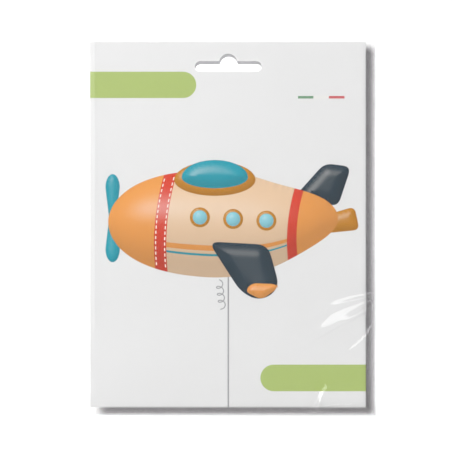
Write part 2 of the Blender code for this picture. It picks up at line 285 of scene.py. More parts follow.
@dataclass(frozen=True)
class PrintedFoil:
    """Nylon film with a vapour-deposited aluminium face, flexo-printed in thin, glazing inks.

    It gives a bright, slightly satin mirror in the ink's colour, broken by creases.
    """

    name: str
    colour: str
    second: str = "FFFFFF"
    third: str = "FFFFFF"
    pattern: FoilPrint = FoilPrint.PLAIN
    bare: str = "E8E6E4"
    metallic: float = 0.65
    roughness: float = 0.34
    crease_mm: float = 7.0
    relief_mm: float = 0.18
    pitch_mm: float = 5.0
    start_mm: float = 0.0
    dot_radius: float = 0.24
    stripe_share: float = 0.18
    weld_mm: tuple[float, float] = (3.6, 4.2)

    def material(self) -> bpy.types.Material:
        """Builds the foil with its pattern, its fine creases, its weld and its uneven sheen.

        Returns:
            The material.
        """
        made, tree = new_material(self.name)
        place = add(tree, "TexCoord", {}, {}).outputs["Object"]
        colour = self.pattern_on(tree, place)
        scale = 1 / (self.crease_mm * MM)
        looks = {"Vector": place, "Scale": scale}
        cells = add(tree, "TexVoronoi", {"feature": "DISTANCE_TO_EDGE"}, looks).outputs[0]
        looks = {"Vector": place, "Scale": scale * 3.0, "Detail": 3.0}
        fine = add(tree, "TexNoise", {}, looks).outputs["Fac"]
        # Ink rubs off along the creases and lets the metal shine through
        creased = add(tree, "Attribute", {"attribute_name": "creased"}, {}).outputs["Fac"]
        span = {"Value": fine, "From Min": 0.45, "From Max": 0.7, "To Min": 0.0, "To Max": 0.3}
        rubbed = add(tree, "MapRange", {}, span).outputs[0]
        worn = add(tree, "Math", {"operation": "MULTIPLY"}, {0: creased, 1: rubbed}).outputs[0]
        shown = {FACTOR: worn, UNDER: colour, OVER: linear(self.bare)}
        colour = add(tree, "Mix", BLEND, shown).outputs[MIXED]
        span = {"Value": cells, "From Min": 0.0, "From Max": 0.25, "To Min": 0.0, "To Max": 1.0}
        ridge = add(tree, "MapRange", {}, span).outputs[0]
        rough = {0: fine, 1: 0.45, 2: ridge}
        height = add(tree, "Math", {"operation": "MULTIPLY_ADD"}, rough).outputs[0]
        relief = {"Strength": 0.12, "Distance": self.relief_mm * MM, "Height": height}
        bumps = add(tree, "Bump", {}, relief).outputs[0]
        # The weld round each flat part is pressed 4 mm wide, and duller than the rest
        inward = add(tree, "Attribute", {"attribute_name": "inward"}, {}).outputs["Fac"]
        first, last = self.weld_mm
        span = {"Value": inward, "From Min": first, "From Max": last, "To Min": 1.0, "To Max": 0.0}
        weld = add(tree, "MapRange", {}, span).outputs[0]
        low, high = self.roughness - 0.04, self.roughness + 0.08
        span = {"Value": fine, "To Min": low, "To Max": high}
        dull = {0: weld, 1: 0.12, 2: add(tree, "MapRange", {}, span).outputs[0]}
        sheen = add(tree, "Math", {"operation": "MULTIPLY_ADD"}, dull).outputs[0]
        inputs = {
            "Base Color": colour,
            "Metallic": self.metallic,
            "Roughness": sheen,
            "Normal": bumps,
            "Coat Weight": 0.6,
            "Coat Roughness": 0.05,
        }
        close(tree, add(tree, "BsdfPrincipled", {}, inputs).outputs[0])
        return made

    def pattern_on(self, tree: bpy.types.NodeTree, place: bpy.types.NodeSocket) -> Any:
        """Draws the foil's pattern in the plane of the pack.

        Args:
            tree: The material's node tree.
            place: Object coordinates.

        Returns:
            The colour, or the socket that gives it.
        """
        colour: Any = linear(self.colour)
        if self.pattern is FoilPrint.PLAIN:
            return colour
        axes = add(tree, "SeparateXYZ", {}, {"Vector": place}).outputs
        scale = 1 / (self.pitch_mm * MM)
        less = {"operation": "LESS_THAN"}
        masks: list[tuple[str, Any]] = []
        if self.pattern is FoilPrint.DOTS:
            flat = add(tree, "CombineXYZ", {}, {"X": axes["X"], "Y": axes["Z"]}).outputs[0]
            cell = {"Vector": flat, "Scale": scale, "Randomness": 0.55}
            cells = add(tree, "TexVoronoi", {"voronoi_dimensions": "2D"}, cell)
            test = {0: cells.outputs["Distance"], 1: self.dot_radius}
            masks.append((self.second, add(tree, "Math", less, test).outputs[0]))
        elif self.pattern is FoilPrint.STRIPES:
            slope = {0: axes["X"], 1: 0.6, 2: axes["Z"]}
            along = add(tree, "Math", {"operation": "MULTIPLY_ADD"}, slope).outputs[0]
            turns = add(tree, "Math", {"operation": "MULTIPLY"}, {0: along, 1: scale}).outputs[0]
            part = add(tree, "Math", {"operation": "FRACT"}, {0: turns}).outputs[0]
            test = {0: part, 1: self.stripe_share}
            masks.append((self.second, add(tree, "Math", less, test).outputs[0]))
        else:
            for code, low, high in ((self.second, 0.0, 1.0), (self.third, 1.7, 2.2)):
                first = {0: axes["X"], 1: (self.start_mm + low * self.pitch_mm) * MM}
                last = {0: axes["X"], 1: (self.start_mm + high * self.pitch_mm) * MM}
                above = add(tree, "Math", {"operation": "GREATER_THAN"}, first).outputs[0]
                below = add(tree, "Math", less, last).outputs[0]
                both = {0: above, 1: below}
                inside = add(tree, "Math", {"operation": "MULTIPLY"}, both).outputs[0]
                masks.append((code, inside))
        for code, inside in masks:
            over = {FACTOR: inside, UNDER: colour, OVER: linear(code)}
            colour = add(tree, "Mix", BLEND, over).outputs[MIXED]
        return colour


@dataclass(frozen=True)
class StudioPaint:
    """Matt white paint on the studio's floor and its swept-up wall."""

    name: str = "matt_white_studio_paint"
    colour: str = "F8F8F8"
    clouds_per_metre: float = 3.0

    def material(self) -> bpy.types.Material:
        """Builds the paint, a little uneven in its sheen.

        Returns:
            The material.
        """
        made, tree = new_material(self.name)
        place = add(tree, "TexCoord", {}, {}).outputs["Object"]
        looks = {"Vector": place, "Scale": self.clouds_per_metre, "Detail": 2.0}
        cloud = add(tree, "TexNoise", {}, looks).outputs["Fac"]
        sheens = {"Value": cloud, "To Min": 0.85, "To Max": 0.95}
        rough = add(tree, "MapRange", {}, sheens).outputs[0]
        paint = {"Base Color": linear(self.colour), "Roughness": rough, "Specular IOR Level": 0.2}
        close(tree, add(tree, "BsdfPrincipled", {}, paint).outputs[0])
        return made


def ease(start: float, end: float, value: np.ndarray) -> np.ndarray:
    """0 at start and 1 at end, level at both, whichever way the two lie."""
    part = np.clip((np.asarray(value) - start) / (end - start), 0.0, 1.0)
    return part * part * (3.0 - 2.0 * part)


def spaced(*stops: tuple[float, float]) -> list[float]:
    """Places along a line, whose spacing changes from stop to stop.

    Args:
        stops: Pairs of a place and of the spacing from there on. The last spacing isn't used.

    Returns:
        The places, both ends among them.
    """
    made: list[float] = []
    for (start, gap), (end, _) in zip(stops, stops[1:]):
        count = max(1, round(abs(end - start) / gap))
        made += [start + (end - start) * step / count for step in range(count)]
    return made + [stops[-1][0]]


def arc(middle: Point, radii: Point, start: float, end: float, steps: int = 14) -> list[Point]:
    """Points on an arc.

    Args:
        middle: The arc's middle.
        radii: Its radii along the two axes.
        start: First angle in degrees, from the first axis towards the second.
        end: Last angle in degrees.
        steps: How many straight steps it takes.

    Returns:
        The points, both ends among them.
    """
    turns = [math.radians(start + (end - start) * step / steps) for step in range(steps + 1)]
    (x, z), (wide, high) = middle, radii
    return [(x + wide * math.cos(turn), z + high * math.sin(turn)) for turn in turns]


def rounded(corners: Sequence[Point], radius: float, steps: int = 6) -> list[Point]:
    """Rounds the corners of a polygon.

    Args:
        corners: The polygon's corners in order.
        radius: How far from each corner the rounding starts.
        steps: How many straight steps each corner takes.

    Returns:
        The rounded outline.
    """
    made: list[Point] = []
    for place, corner in enumerate(corners):
        here = Vector(corner)
        before = (Vector(corners[place - 1]) - here).normalized() * radius
        after = (Vector(corners[(place + 1) % len(corners)]) - here).normalized() * radius
        for step in range(steps + 1):
            share = step / steps
            spot = here + before * (1 - share) ** 2 + after * share**2
            made.append((spot.x, spot.y))
    return made


@dataclass
class Line:
    """A chain of straight steps in the pack's plane, in millimetres."""

    points: Sequence[Point]
    closed: bool = False

    def nearest(self, x: np.ndarray, z: np.ndarray) -> tuple[np.ndarray, np.ndarray, np.ndarray]:
        """Finds how far each place is from the line.

        Args:
            x: Places across the pack.
            z: Places up the pack.

        Returns:
            The distances, how far along the line the nearest points lie, and 1 where a place is
            on the line's left or -1 on its right.
        """
        chain = np.array(self.points, float)
        ends = np.roll(chain, -1, axis=0)
        count = len(chain) if self.closed else len(chain) - 1
        best = np.full(x.shape, 1e9)
        along = np.zeros(x.shape)
        side = np.ones(x.shape)
        walked = 0.0
        for (ax, az), (bx, bz) in zip(chain[:count], ends[:count]):
            run_x, run_z = bx - ax, bz - az
            size = max(math.hypot(run_x, run_z), 1e-9)
            share = np.clip(((x - ax) * run_x + (z - az) * run_z) / size**2, 0, 1)
            away = np.hypot(x - ax - share * run_x, z - az - share * run_z)
            closer = away < best
            best = np.where(closer, away, best)
            along = np.where(closer, walked + share * size, along)
            turn = np.where(run_x * (z - az) - run_z * (x - ax) >= 0, 1.0, -1.0)
            side = np.where(closer, turn, side)
            walked += size
        return best, along, side

    def length(self) -> float:
        """The line's length from its first point to its last."""
        return float(np.hypot(*np.diff(np.array(self.points, float), axis=0).T).sum())

    def area(self) -> float:
        """The closed line's area."""
        x, z = np.array(self.points, float).T
        return abs(float(np.dot(x, np.roll(z, -1)) - np.dot(z, np.roll(x, -1)))) / 2


@dataclass
class Wrinkle:
    """A ridge in film or foil, highest in its middle and fading at both ends.

    Its two flanks may differ: width is to the left of its line and other to the right.
    """

    points: Sequence[Point]
    width: float
    height: float
    other: float | None = None

    def rise(self, x: np.ndarray, z: np.ndarray) -> np.ndarray:
        """Gives the ridge's height at each place.

        Args:
            x: Places across the pack.
            z: Places up the pack.

        Returns:
            Heights in millimetres.
        """
        line = Line(self.points)
        away, along, side = line.nearest(x, z)
        fade = np.sin(np.clip(along / line.length(), 0.0, 1.0) * math.pi) ** 0.7
        width = np.where(side > 0, self.width, self.other or self.width)
        return self.height * fade * (1.0 + (away / width) ** 2) ** -1.6


def wander(x: np.ndarray, z: np.ndarray, size: float, seed: float) -> np.ndarray:
    """Gives soft swells.

    Args:
        x: Places across the pack.
        z: Places up the pack.
        size: A swell's width in millimetres.
        seed: Moves the pattern.

    Returns:
        Heights from -1 to 1.
    """
    swells = [noise.noise((a / size, b / size, seed)) for a, b in zip(x.ravel(), z.ravel())]
    return np.array(swells).reshape(x.shape)


def only(piece: bpy.types.Object | None) -> None:
    """Selects one object, or nothing, because an operator acts on all that is selected.

    Args:
        piece: The object, or None.
    """
    bpy.ops.object.select_all(action="DESELECT")
    if piece is not None:
        piece.select_set(True)
        bpy.context.view_layer.objects.active = piece


def named(name: str) -> bpy.types.Object:
    """Renames the object that the last operator made, with its mesh.

    Args:
        name: The new name.

    Returns:
        The object.
    """
    piece = bpy.context.active_object
    piece.name = name
    piece.data.name = name
    return piece


def read_points(piece: bpy.types.Object) -> np.ndarray:
    """Reads the mesh's points.

    Args:
        piece: The piece.

    Returns:
        Rows of across, depth and up.
    """
    spots = np.empty(len(piece.data.vertices) * 3)
    piece.data.vertices.foreach_get("co", spots)
    return spots.reshape(-1, 3)


def write_points(piece: bpy.types.Object, spots: np.ndarray) -> None:
    """Puts the mesh's points back."""
    piece.data.vertices.foreach_set("co", np.ascontiguousarray(spots, dtype=float).ravel())
    piece.data.update()


def note(piece: bpy.types.Object, name: str, values: np.ndarray) -> None:
    """Writes one number for each of the mesh's points, for its material to read."""
    layer = piece.data.attributes.new(name, "FLOAT", "POINT")
    layer.data.foreach_set("value", np.ascontiguousarray(values, dtype=np.float32))


def turn_to(piece: bpy.types.Object, facing: Facing) -> None:
    """Turns the faces of a flat piece so that they look one way."""
    if sum(face.normal.y * face.area for face in piece.data.polygons) * facing.value < 0:
        piece.data.flip_normals()


def lattice(name: str, columns: Sequence[float], rows: Sequence[float],
            form: Form) -> bpy.types.Object:
    """Adds a grid primitive and gives each of its points its place.

    Args:
        name: The piece's name.
        columns: A number for each column of the grid.
        rows: A number for each row of the grid.
        form: Turns the numbers of a point's column and row into its place in millimetres.

    Returns:
        The piece, in millimetres.
    """
    only(None)
    across = len(columns) - 1
    along = len(rows) - 1
    bpy.ops.mesh.primitive_grid_add(x_subdivisions=across, y_subdivisions=along, size=2.0)
    piece = named(name)
    spots = read_points(piece)
    first = np.array(columns)[np.rint((spots[:, 0] + 1) / 2 * across).astype(int)]
    second = np.array(rows)[np.rint((spots[:, 1] + 1) / 2 * along).astype(int)]
    write_points(piece, form(first, second))
    return piece


def cut_out(name: str, outline: Sequence[Point], spacing: float) -> bpy.types.Object:
    """Fills an outline and cuts it into a net that is fine enough to be shaped.

    Args:
        name: The piece's name.
        outline: The closed outline.
        spacing: The net's spacing.

    Returns:
        The flat piece at depth 0, in millimetres, facing the shopper.
    """
    only(None)
    bpy.ops.mesh.primitive_circle_add(vertices=len(outline), radius=1.0, fill_type="NGON")
    piece = named(name)
    spots = np.array([(x, 0.0, z) for x, z in outline])
    write_points(piece, spots)
    bpy.ops.object.mode_set(mode="EDIT")
    for axis in (0, 2):
        low, high = spots[:, axis].min(), spots[:, axis].max()
        count = max(1, int((high - low) / spacing))
        for step in range(1, count):
            spot = [0.0, 0.0, 0.0]
            way = [0.0, 0.0, 0.0]
            spot[axis] = low + (high - low) * step / count
            way[axis] = 1.0
            bpy.ops.mesh.select_all(action="SELECT")
            bpy.ops.mesh.bisect(plane_co=spot, plane_no=way)
    bpy.ops.object.mode_set(mode="OBJECT")
    turn_to(piece, Facing.FRONT)
    return piece


def thicken(piece: bpy.types.Object, thickness: float) -> None:
    """Turns a surface drawn in millimetres into metres, and gives it a wall on both its sides.

    Args:
        piece: The surface.
        thickness: The wall in millimetres.
    """
    write_points(piece, read_points(piece) * MM)
    only(piece)
    wall = piece.modifiers.new("wall", "SOLIDIFY")
    wall.thickness = thickness * MM
    wall.offset = 0.0
    bpy.ops.object.modifier_apply(modifier=wall.name)


def smooth(piece: bpy.types.Object, angle: float = 50.0) -> None:
    """Shades a piece smooth, but for edges sharper than the angle in degrees."""
    only(piece)
    bpy.ops.object.shade_smooth_by_angle(angle=math.radians(angle))


def hand_over(piece: bpy.types.Object, material: bpy.types.Material) -> None:
    """Gives a finished piece its material and its body, and reports it.

    Args:
        piece: The finished piece.
        material: The piece's material.
    """
    piece.data.materials.clear()
    piece.data.materials.append(material)
    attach(piece, "root")
    LOG.info("%s has %d faces", piece.name, len(piece.data.polygons))


@dataclass
class HangSlot:
    """The punched slot: a long bar with round ends and a round peak over its middle."""

    length: float = 40.2
    bar: float = 6.4
    rise: float = 4.5
    peak_half: float = 5.4
    cutter_reach: float = 6.0

    def outline(self) -> list[Point]:
        """Draws the slot from its right end over the peak to its left end.

        Returns:
            The closed outline.
        """
        end = self.bar / 2
        straight = self.length / 2 - end
        radius = (self.peak_half**2 + self.rise**2) / (2 * self.rise)
        spread = math.degrees(math.asin(self.peak_half / radius))
        right = arc((straight, -self.rise - end), (end, end), -90, 90)
        peak = arc((0, -radius), (radius, radius), 90 - spread, 90 + spread)
        left = arc((-straight, -self.rise - end), (end, end), 90, 270)
        return right + peak + left

    def punch(self, piece: bpy.types.Object, shift: Point = (0.0, 0.0)) -> None:
        """Cuts the slot through a piece.

        Args:
            piece: The piece, in metres.
            shift: How far across and up the cut is moved, in millimetres.
        """
        outline = [(x + shift[0], z + shift[1]) for x, z in self.outline()]
        only(None)
        bpy.ops.mesh.primitive_circle_add(vertices=len(outline), radius=1.0, fill_type="NGON")
        cutter = named("slot_cutter")
        reach = self.cutter_reach * MM
        write_points(cutter, np.array([(x * MM, -reach, z * MM) for x, z in outline]))
        bpy.ops.object.mode_set(mode="EDIT")
        bpy.ops.mesh.select_all(action="SELECT")
        bpy.ops.mesh.extrude_region_move(TRANSFORM_OT_translate={"value": (0, 2 * reach, 0)})
        bpy.ops.mesh.select_all(action="SELECT")
        bpy.ops.mesh.normals_make_consistent(inside=False)
        bpy.ops.object.mode_set(mode="OBJECT")
        only(piece)
        cut = piece.modifiers.new("hang_slot", "BOOLEAN")
        cut.operation = "DIFFERENCE"
        cut.solver = "EXACT"
        cut.object = cutter
        bpy.ops.object.modifier_apply(modifier=cut.name)
        bpy.data.objects.remove(cutter, do_unlink=True)


@dataclass
class InsertCard:
    """The insert card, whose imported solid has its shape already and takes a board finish."""

    node: str = "insert_card"
    board: CoatedBoard = field(default_factory=CoatedBoard)

    def dress(self) -> None:
        """Gives the card its board finish."""
        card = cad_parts[self.node]
        finish = self.board.material()
        if not card.data.materials:
            card.data.materials.append(finish)
        for slot in card.material_slots:
            slot.material = finish
        LOG.info("%s is dressed in %s", self.node, self.board.name)


@dataclass
class PictureLight:
    """The light in the printed picture, which falls from the upper left."""

    towards: Place = (-0.36, 0.70, 0.62)
    ambient: float = 0.72
    lit: float = 0.34
    gloss: float = 0.26
    tightness: float = 26.0

    def tones(self, normal: np.ndarray) -> tuple[np.ndarray, np.ndarray]:
        """Works out how light and how glossy a drawn surface looks.

        Args:
            normal: Rows of across, outward and up.

        Returns:
            The shade and the gleam of each row.
        """
        light = np.array(self.towards) / np.linalg.norm(self.towards)
        half = light + np.array((0.0, 1.0, 0.0))
        half /= np.linalg.norm(half)
        shade = self.ambient + self.lit * np.clip(normal @ light, 0, 1)
        gleam = self.gloss * np.clip(normal @ half, 0, 1) ** self.tightness
        return shade, gleam


@dataclass
class CardPrint:
    """All that is printed on the card: blank labels, a rule, a toy plane and its string."""

    first_depth: float = -0.23
    layer: float = 0.05
    ink: float = 0.02
    label_spacing: float = 12.0
    rule_spacing: float = 4.0
    nose_end: float = -72.0
    nose_band: Point = (-41.2, -33.6)
    tail_band: Point = (38.0, 43.5)
    tail_end: float = 66.0
    middle_z: float = -103.0
    half_height: float = 32.0
    roundness: float = 2.5
    taper: float = 0.30
    band_lean: float = 3.0
    band_bow: float = 3.2
    drop: float = 0.045
    tail_rise: float = 6.0
    light: PictureLight = field(default_factory=PictureLight)
    inks: dict[str, bpy.types.Material] = field(default_factory=dict)

    def build(self) -> None:
        """Prints every part of the card's front."""
        for name, code, shaded in (
            ("cream", "E4C4A2", True),
            ("orange", "E79B49", True),
            ("red", "D63A1E", True),
            ("teal", "049CAE", True),
            ("mustard", "C48206", True),
            ("navy", "0C2C3C", True),
            ("pale_glass", "8ACBD8", True),
            ("stitch", "FBF1E6", False),
            ("label_green", "ACBF6F", False),
            ("label_olive", "ABBF6C", False),
            ("rule_green", "6F9A78", False),
            ("rule_pale", "E9E8E4", False),
            ("rule_red", "CB5F63", False),
            ("string_grey", "A0A0A2", False),
        ):
            self.inks[name] = PrintingInk(f"{name}_ink", code, shaded).material()
        self.labels()
        self.picture()
        self.string()

    def lay(self, piece: bpy.types.Object, level: int, ink: str) -> None:
        """Lays a flat print on the card.

        Args:
            piece: The print, flat at depth 0 or a hair off it, in millimetres.
            level: How many prints lie under it.
            ink: The name of its ink.
        """
        spots = read_points(piece)
        spots[:, 1] += self.first_depth - level * self.layer
        write_points(piece, spots)
        turn_to(piece, Facing.FRONT)
        thicken(piece, self.ink)
        hand_over(piece, self.inks[ink])

    def labels(self) -> None:
        """Prints the two blank labels, each round at one end, and the rule of three colours."""
        for part, edge, end, first, last, turn, ink in (
            ("upper", CARD_LEFT, -19.2, -26.7, -10.9, -90, "label_green"),
            ("lower", CARD_RIGHT, 19.4, -187.1, -203.1, 90, "label_olive"),
        ):
            half = (last - first) / 2
            middle, radius = (end - half, (first + last) / 2), abs(half)
            round_end = arc(middle, (radius, radius), turn, turn + 180, 20)
            outline = [(edge, first)] + round_end + [(edge, last)]
            self.lay(cut_out(f"print_{part}_label", outline, self.label_spacing), 0, ink)
        low, top = -27.0, -25.5
        for part, start, end in (
            ("green", 42.0, 51.3),
            ("pale", 51.3, 60.6),
            ("red", 60.6, 70.0),
        ):
            outline = [(start, low), (end, low), (end, top), (start, top)]
            self.lay(cut_out(f"print_rule_{part}", outline, self.rule_spacing), 0, f"rule_{part}")

    def share(self, s: np.ndarray) -> np.ndarray:
        """How far each station is from the hull's middle: -1 at its nose and 1 at its tail."""
        middle = (self.nose_end + self.tail_end) / 2
        return (s - middle) / (self.tail_end - middle)

    def half(self, s: np.ndarray) -> np.ndarray:
        """Gives half the drawn hull's height, which tapers towards the tail.

        Args:
            s: Station along the hull.

        Returns:
            The half height at each station.
        """
        u = self.share(s)
        round_off = np.sqrt(np.clip(1 - np.abs(u) ** self.roundness, 0, 1))
        return self.half_height * round_off * (1 - self.taper * ease(-0.1, 1.0, u))

    def hull(self, s: np.ndarray, t: np.ndarray) -> np.ndarray:
        """Gives the places of the drawn hull.

        Args:
            s: Station along the hull.
            t: Height across it, from -1 at its belly to 1 at its back.

        Returns:
            The places, at depth 0.
        """
        half = self.half(s)
        fullness = half / self.half_height
        x = s + (self.band_lean * t - self.band_bow * (1 - t * t)) * fullness
        rise = self.tail_rise * ease(20.0, self.tail_end, s)
        z = self.middle_z - self.drop * s + rise + t * half
        return np.stack([x, np.zeros_like(x), z], axis=1)

    def hull_tones(self, s: np.ndarray, t: np.ndarray) -> tuple[np.ndarray, np.ndarray]:
        """Works out the drawn hull's light and shade, with the puckers along its seams.

        Args:
            s: Station along the hull.
            t: Height across it.

        Returns:
            The shade and the gleam.
        """
        u = self.share(s)
        lean = np.radians(66) * t
        turn = np.radians(58) * np.sign(u) * np.abs(u) ** 3.0
        pucker = np.sin(s * 1.5 + 1.7 * np.sin(s * 0.37)) * np.exp(-(1 - np.abs(t)) / 0.1)
        turn = turn + 0.5 * pucker
        outward = np.cos(turn)
        normal = np.stack([np.sin(turn), outward * np.cos(lean), outward * np.sin(lean)], axis=1)
        return self.light.tones(normal)

    def hull_part(self, name: str, start: float, end: float, ink: str, low: float = -1.0,
                  high: float = 1.0, level: int = 1) -> None:
        """Prints one part of the hull, between two stations.

        Args:
            name: The print's name.
            start: Its first station.
            end: Its last station.
            ink: The name of its ink.
            low: Its lower edge across the hull.
            high: Its upper edge across the hull.
            level: How many prints lie under it.
        """
        middle = (self.nose_end + self.tail_end) / 2
        reach = self.tail_end - middle
        first, last = (math.asin((place - middle) / reach) for place in (start, end))
        spacing = 0.9
        steps = max(2, round(abs(end - start) / spacing))
        turns = [first + (last - first) * n / steps for n in range(steps + 1)]
        columns = [middle + reach * math.sin(turn) for turn in turns]
        lowest, highest = math.asin(low), math.asin(high)
        count = 70 if high - low > 1 else 6
        turns = [lowest + (highest - lowest) * n / count for n in range(count + 1)]
        rows = [math.sin(turn) for turn in turns]
        stations: list[np.ndarray] = []

        def form(s: np.ndarray, t: np.ndarray) -> np.ndarray:
            """Places the hull's points, and keeps their stations for the shading."""
            stations.extend((s, t))
            return self.hull(s, t)

        piece = lattice(name, columns, rows, form)
        shade, gleam = self.hull_tones(*stations)
        note(piece, "shade", shade)
        note(piece, "gleam", gleam)
        self.lay(piece, level, ink)

    def puffed(self, name: str, outline: Sequence[Point], ink: str, level: int, radius: float,
               spacing: float = 1.0) -> None:
        """Prints a part that looks puffed up inside its outline.

        Args:
            name: The print's name.
            outline: Its closed outline.
            ink: The name of its ink.
            level: How many prints lie under it.
            radius: How far inside its edge it looks flat again.
            spacing: The spacing of its net.
        """
        piece = cut_out(name, outline, spacing)
        x, _, z = read_points(piece).T
        edge = Line(outline, closed=True)
        inward, along, _ = edge.nearest(x, z)
        step = 0.15
        slope_x = (edge.nearest(x + step, z)[0] - edge.nearest(x - step, z)[0]) / (2 * step)
        slope_z = (edge.nearest(x, z + step)[0] - edge.nearest(x, z - step)[0]) / (2 * step)
        lean = np.radians(64) * (1 - np.clip(inward / radius, 0, 1)) ** 1.2
        lean = lean * (1 + 0.25 * np.sin(along * 2.1) * np.exp(-inward / 2.2))
        steep = np.sin(lean)
        slope = np.maximum(np.hypot(slope_x, slope_z), 0.35)
        across, up = -slope_x / slope * steep, -slope_z / slope * steep
        normal = np.stack([across, np.cos(lean), up], axis=1)
        shade, gleam = self.light.tones(normal)
        note(piece, "shade", shade)
        note(piece, "gleam", gleam)
        self.lay(piece, level, ink)

    def stitches(self) -> None:
        """Prints two rows of dashes down the red band behind the nose."""
        dashes = []
        count, reach = 17, 0.94
        half_width, half_length = 0.32, 0.032
        for station in (-40.2, -34.6):
            for place in range(count):
                t = -reach + 2 * reach * (place + 0.5) / count
                only(None)
                bpy.ops.mesh.primitive_plane_add(size=2.0)
                dash = named("print_stitches")
                corners = read_points(dash)
                s = station + corners[:, 0] * half_width
                write_points(dash, self.hull(s, t + corners[:, 1] * half_length))
                dashes.append(dash)
        only(dashes[0])
        for dash in dashes:
            dash.select_set(True)
        bpy.ops.object.join()
        self.lay(dashes[0], 2, "stitch")

    def picture(self) -> None:
        """Prints the toy plane: its tail parts, then its hull, then what lies on the hull."""
        fin = rounded([(40, -86), (66, -92), (74, -68), (58, -66)], 5)
        self.puffed("print_tail_fin", fin, "navy", 0, 8)
        tailplane = rounded([(56, -98), (59, -108), (79, -106), (76, -92)], 4)
        self.puffed("print_tailplane", tailplane, "mustard", 0, 6)
        top = arc((-69.5, -80.5), (4.3, 8), 0, 180)
        low = arc((-69.5, -117.5), (4.3, 8), 180, 360)
        blades = top + [(-71.6, -99)] + low + [(-67.4, -99)]
        self.puffed("print_propeller", blades, "teal", 0, 4, 0.8)
        nose, tail = self.nose_band, self.tail_band
        for name, start, end, ink in (
            ("print_nose", self.nose_end, nose[0], "orange"),
            ("print_nose_band", *nose, "red"),
            ("print_hull", nose[1], tail[0], "cream"),
            ("print_tail_band", *tail, "red"),
            ("print_tail_cone", tail[1], self.tail_end, "orange"),
        ):
            self.hull_part(name, start, end, ink)
        self.hull_part("print_flight_line", nose[1], tail[0], "orange", -0.50, -0.40, 2)
        self.hull_part("print_flight_pinstripe", nose[1], tail[0], "teal", -0.60, -0.56, 2)
        self.stitches()
        glass = arc((-8, -74.5), (20, 10.5), 0, 180) + arc((-8, -74.5), (20, 6.5), 180, 360)[1:-1]
        rim = arc((-8, -76), (24.5, 11.2), 0, 180) + arc((-8, -76), (24.5, 9.6), 180, 360)[1:-1]
        self.puffed("print_canopy_rim", rim, "mustard", 2, 5)
        self.puffed("print_canopy", glass, "teal", 3, 9)
        for count, middle in enumerate(((-17, -98.5), (3, -99.5), (23, -100.5)), 1):
            rim = arc(middle, (6, 6), 0, 354, 59)
            glass = arc(middle, (4.3, 4.3), 0, 354, 59)
            self.puffed(f"print_porthole_rim_{count}", rim, "mustard", 2, 2.2, 0.7)
            self.puffed(f"print_porthole_{count}", glass, "pale_glass", 3, 4, 0.7)
        wing = rounded([(-12, -113), (24, -115), (31, -141), (20, -149), (8, -144)], 7)
        self.puffed("print_wing", wing, "navy", 3, 9)
        tip = rounded([(14, -138), (29.4, -138.6), (30, -141), (20, -148), (10, -143)], 3.5)
        self.puffed("print_wing_tip", tip, "orange", 4, 5, 0.8)

    def strip(self, name: str, path: np.ndarray, width: float, level: int) -> None:
        """Prints a thin line along a path.

        Args:
            name: The print's name.
            path: Points along the line, rows of across and up.
            width: The line's width.
            level: How many prints lie under it.
        """
        way = np.gradient(path, axis=0)
        way /= np.linalg.norm(way, axis=1)[:, None]
        side = np.stack([-way[:, 1], way[:, 0]], axis=1)

        def form(place: np.ndarray, across: np.ndarray) -> np.ndarray:
            """Sets points beside the path.

            Args:
                place: Which of the path's points each one belongs to.
                across: How far beside the path it lies.

            Returns:
                The places.
            """
            index = place.astype(int)
            spot = path[index] + side[index] * across[:, None]
            # A line that crosses itself climbs by a hair, so that no two faces share a plane
            return np.stack([spot[:, 0], -0.00012 * place, spot[:, 1]], axis=1)

        piece = lattice(name, range(len(path)), [-width / 2, 0.0, width / 2], form)
        self.lay(piece, level, "string_grey")

    def string(self) -> None:
        """Prints the straight string down to the card's bottom edge, and its curled end."""
        z = np.array(spaced((-133.0, 3.0), (CARD_BOTTOM, 1.0)))
        self.strip("print_string", np.stack([np.full(len(z), 0.1), z], axis=1), 0.9, 0)
        curls, length = 3.6, 15.0
        turn = np.linspace(0, curls * 2 * math.pi, 150)
        x = -5.4 + 2.0 * np.sin(turn) + 0.08 * turn
        z = -137.5 - turn / turn[-1] * length + 1.5 * np.cos(turn)
        self.strip("print_curled_end", np.stack([x, z], axis=1), 0.62, 0)


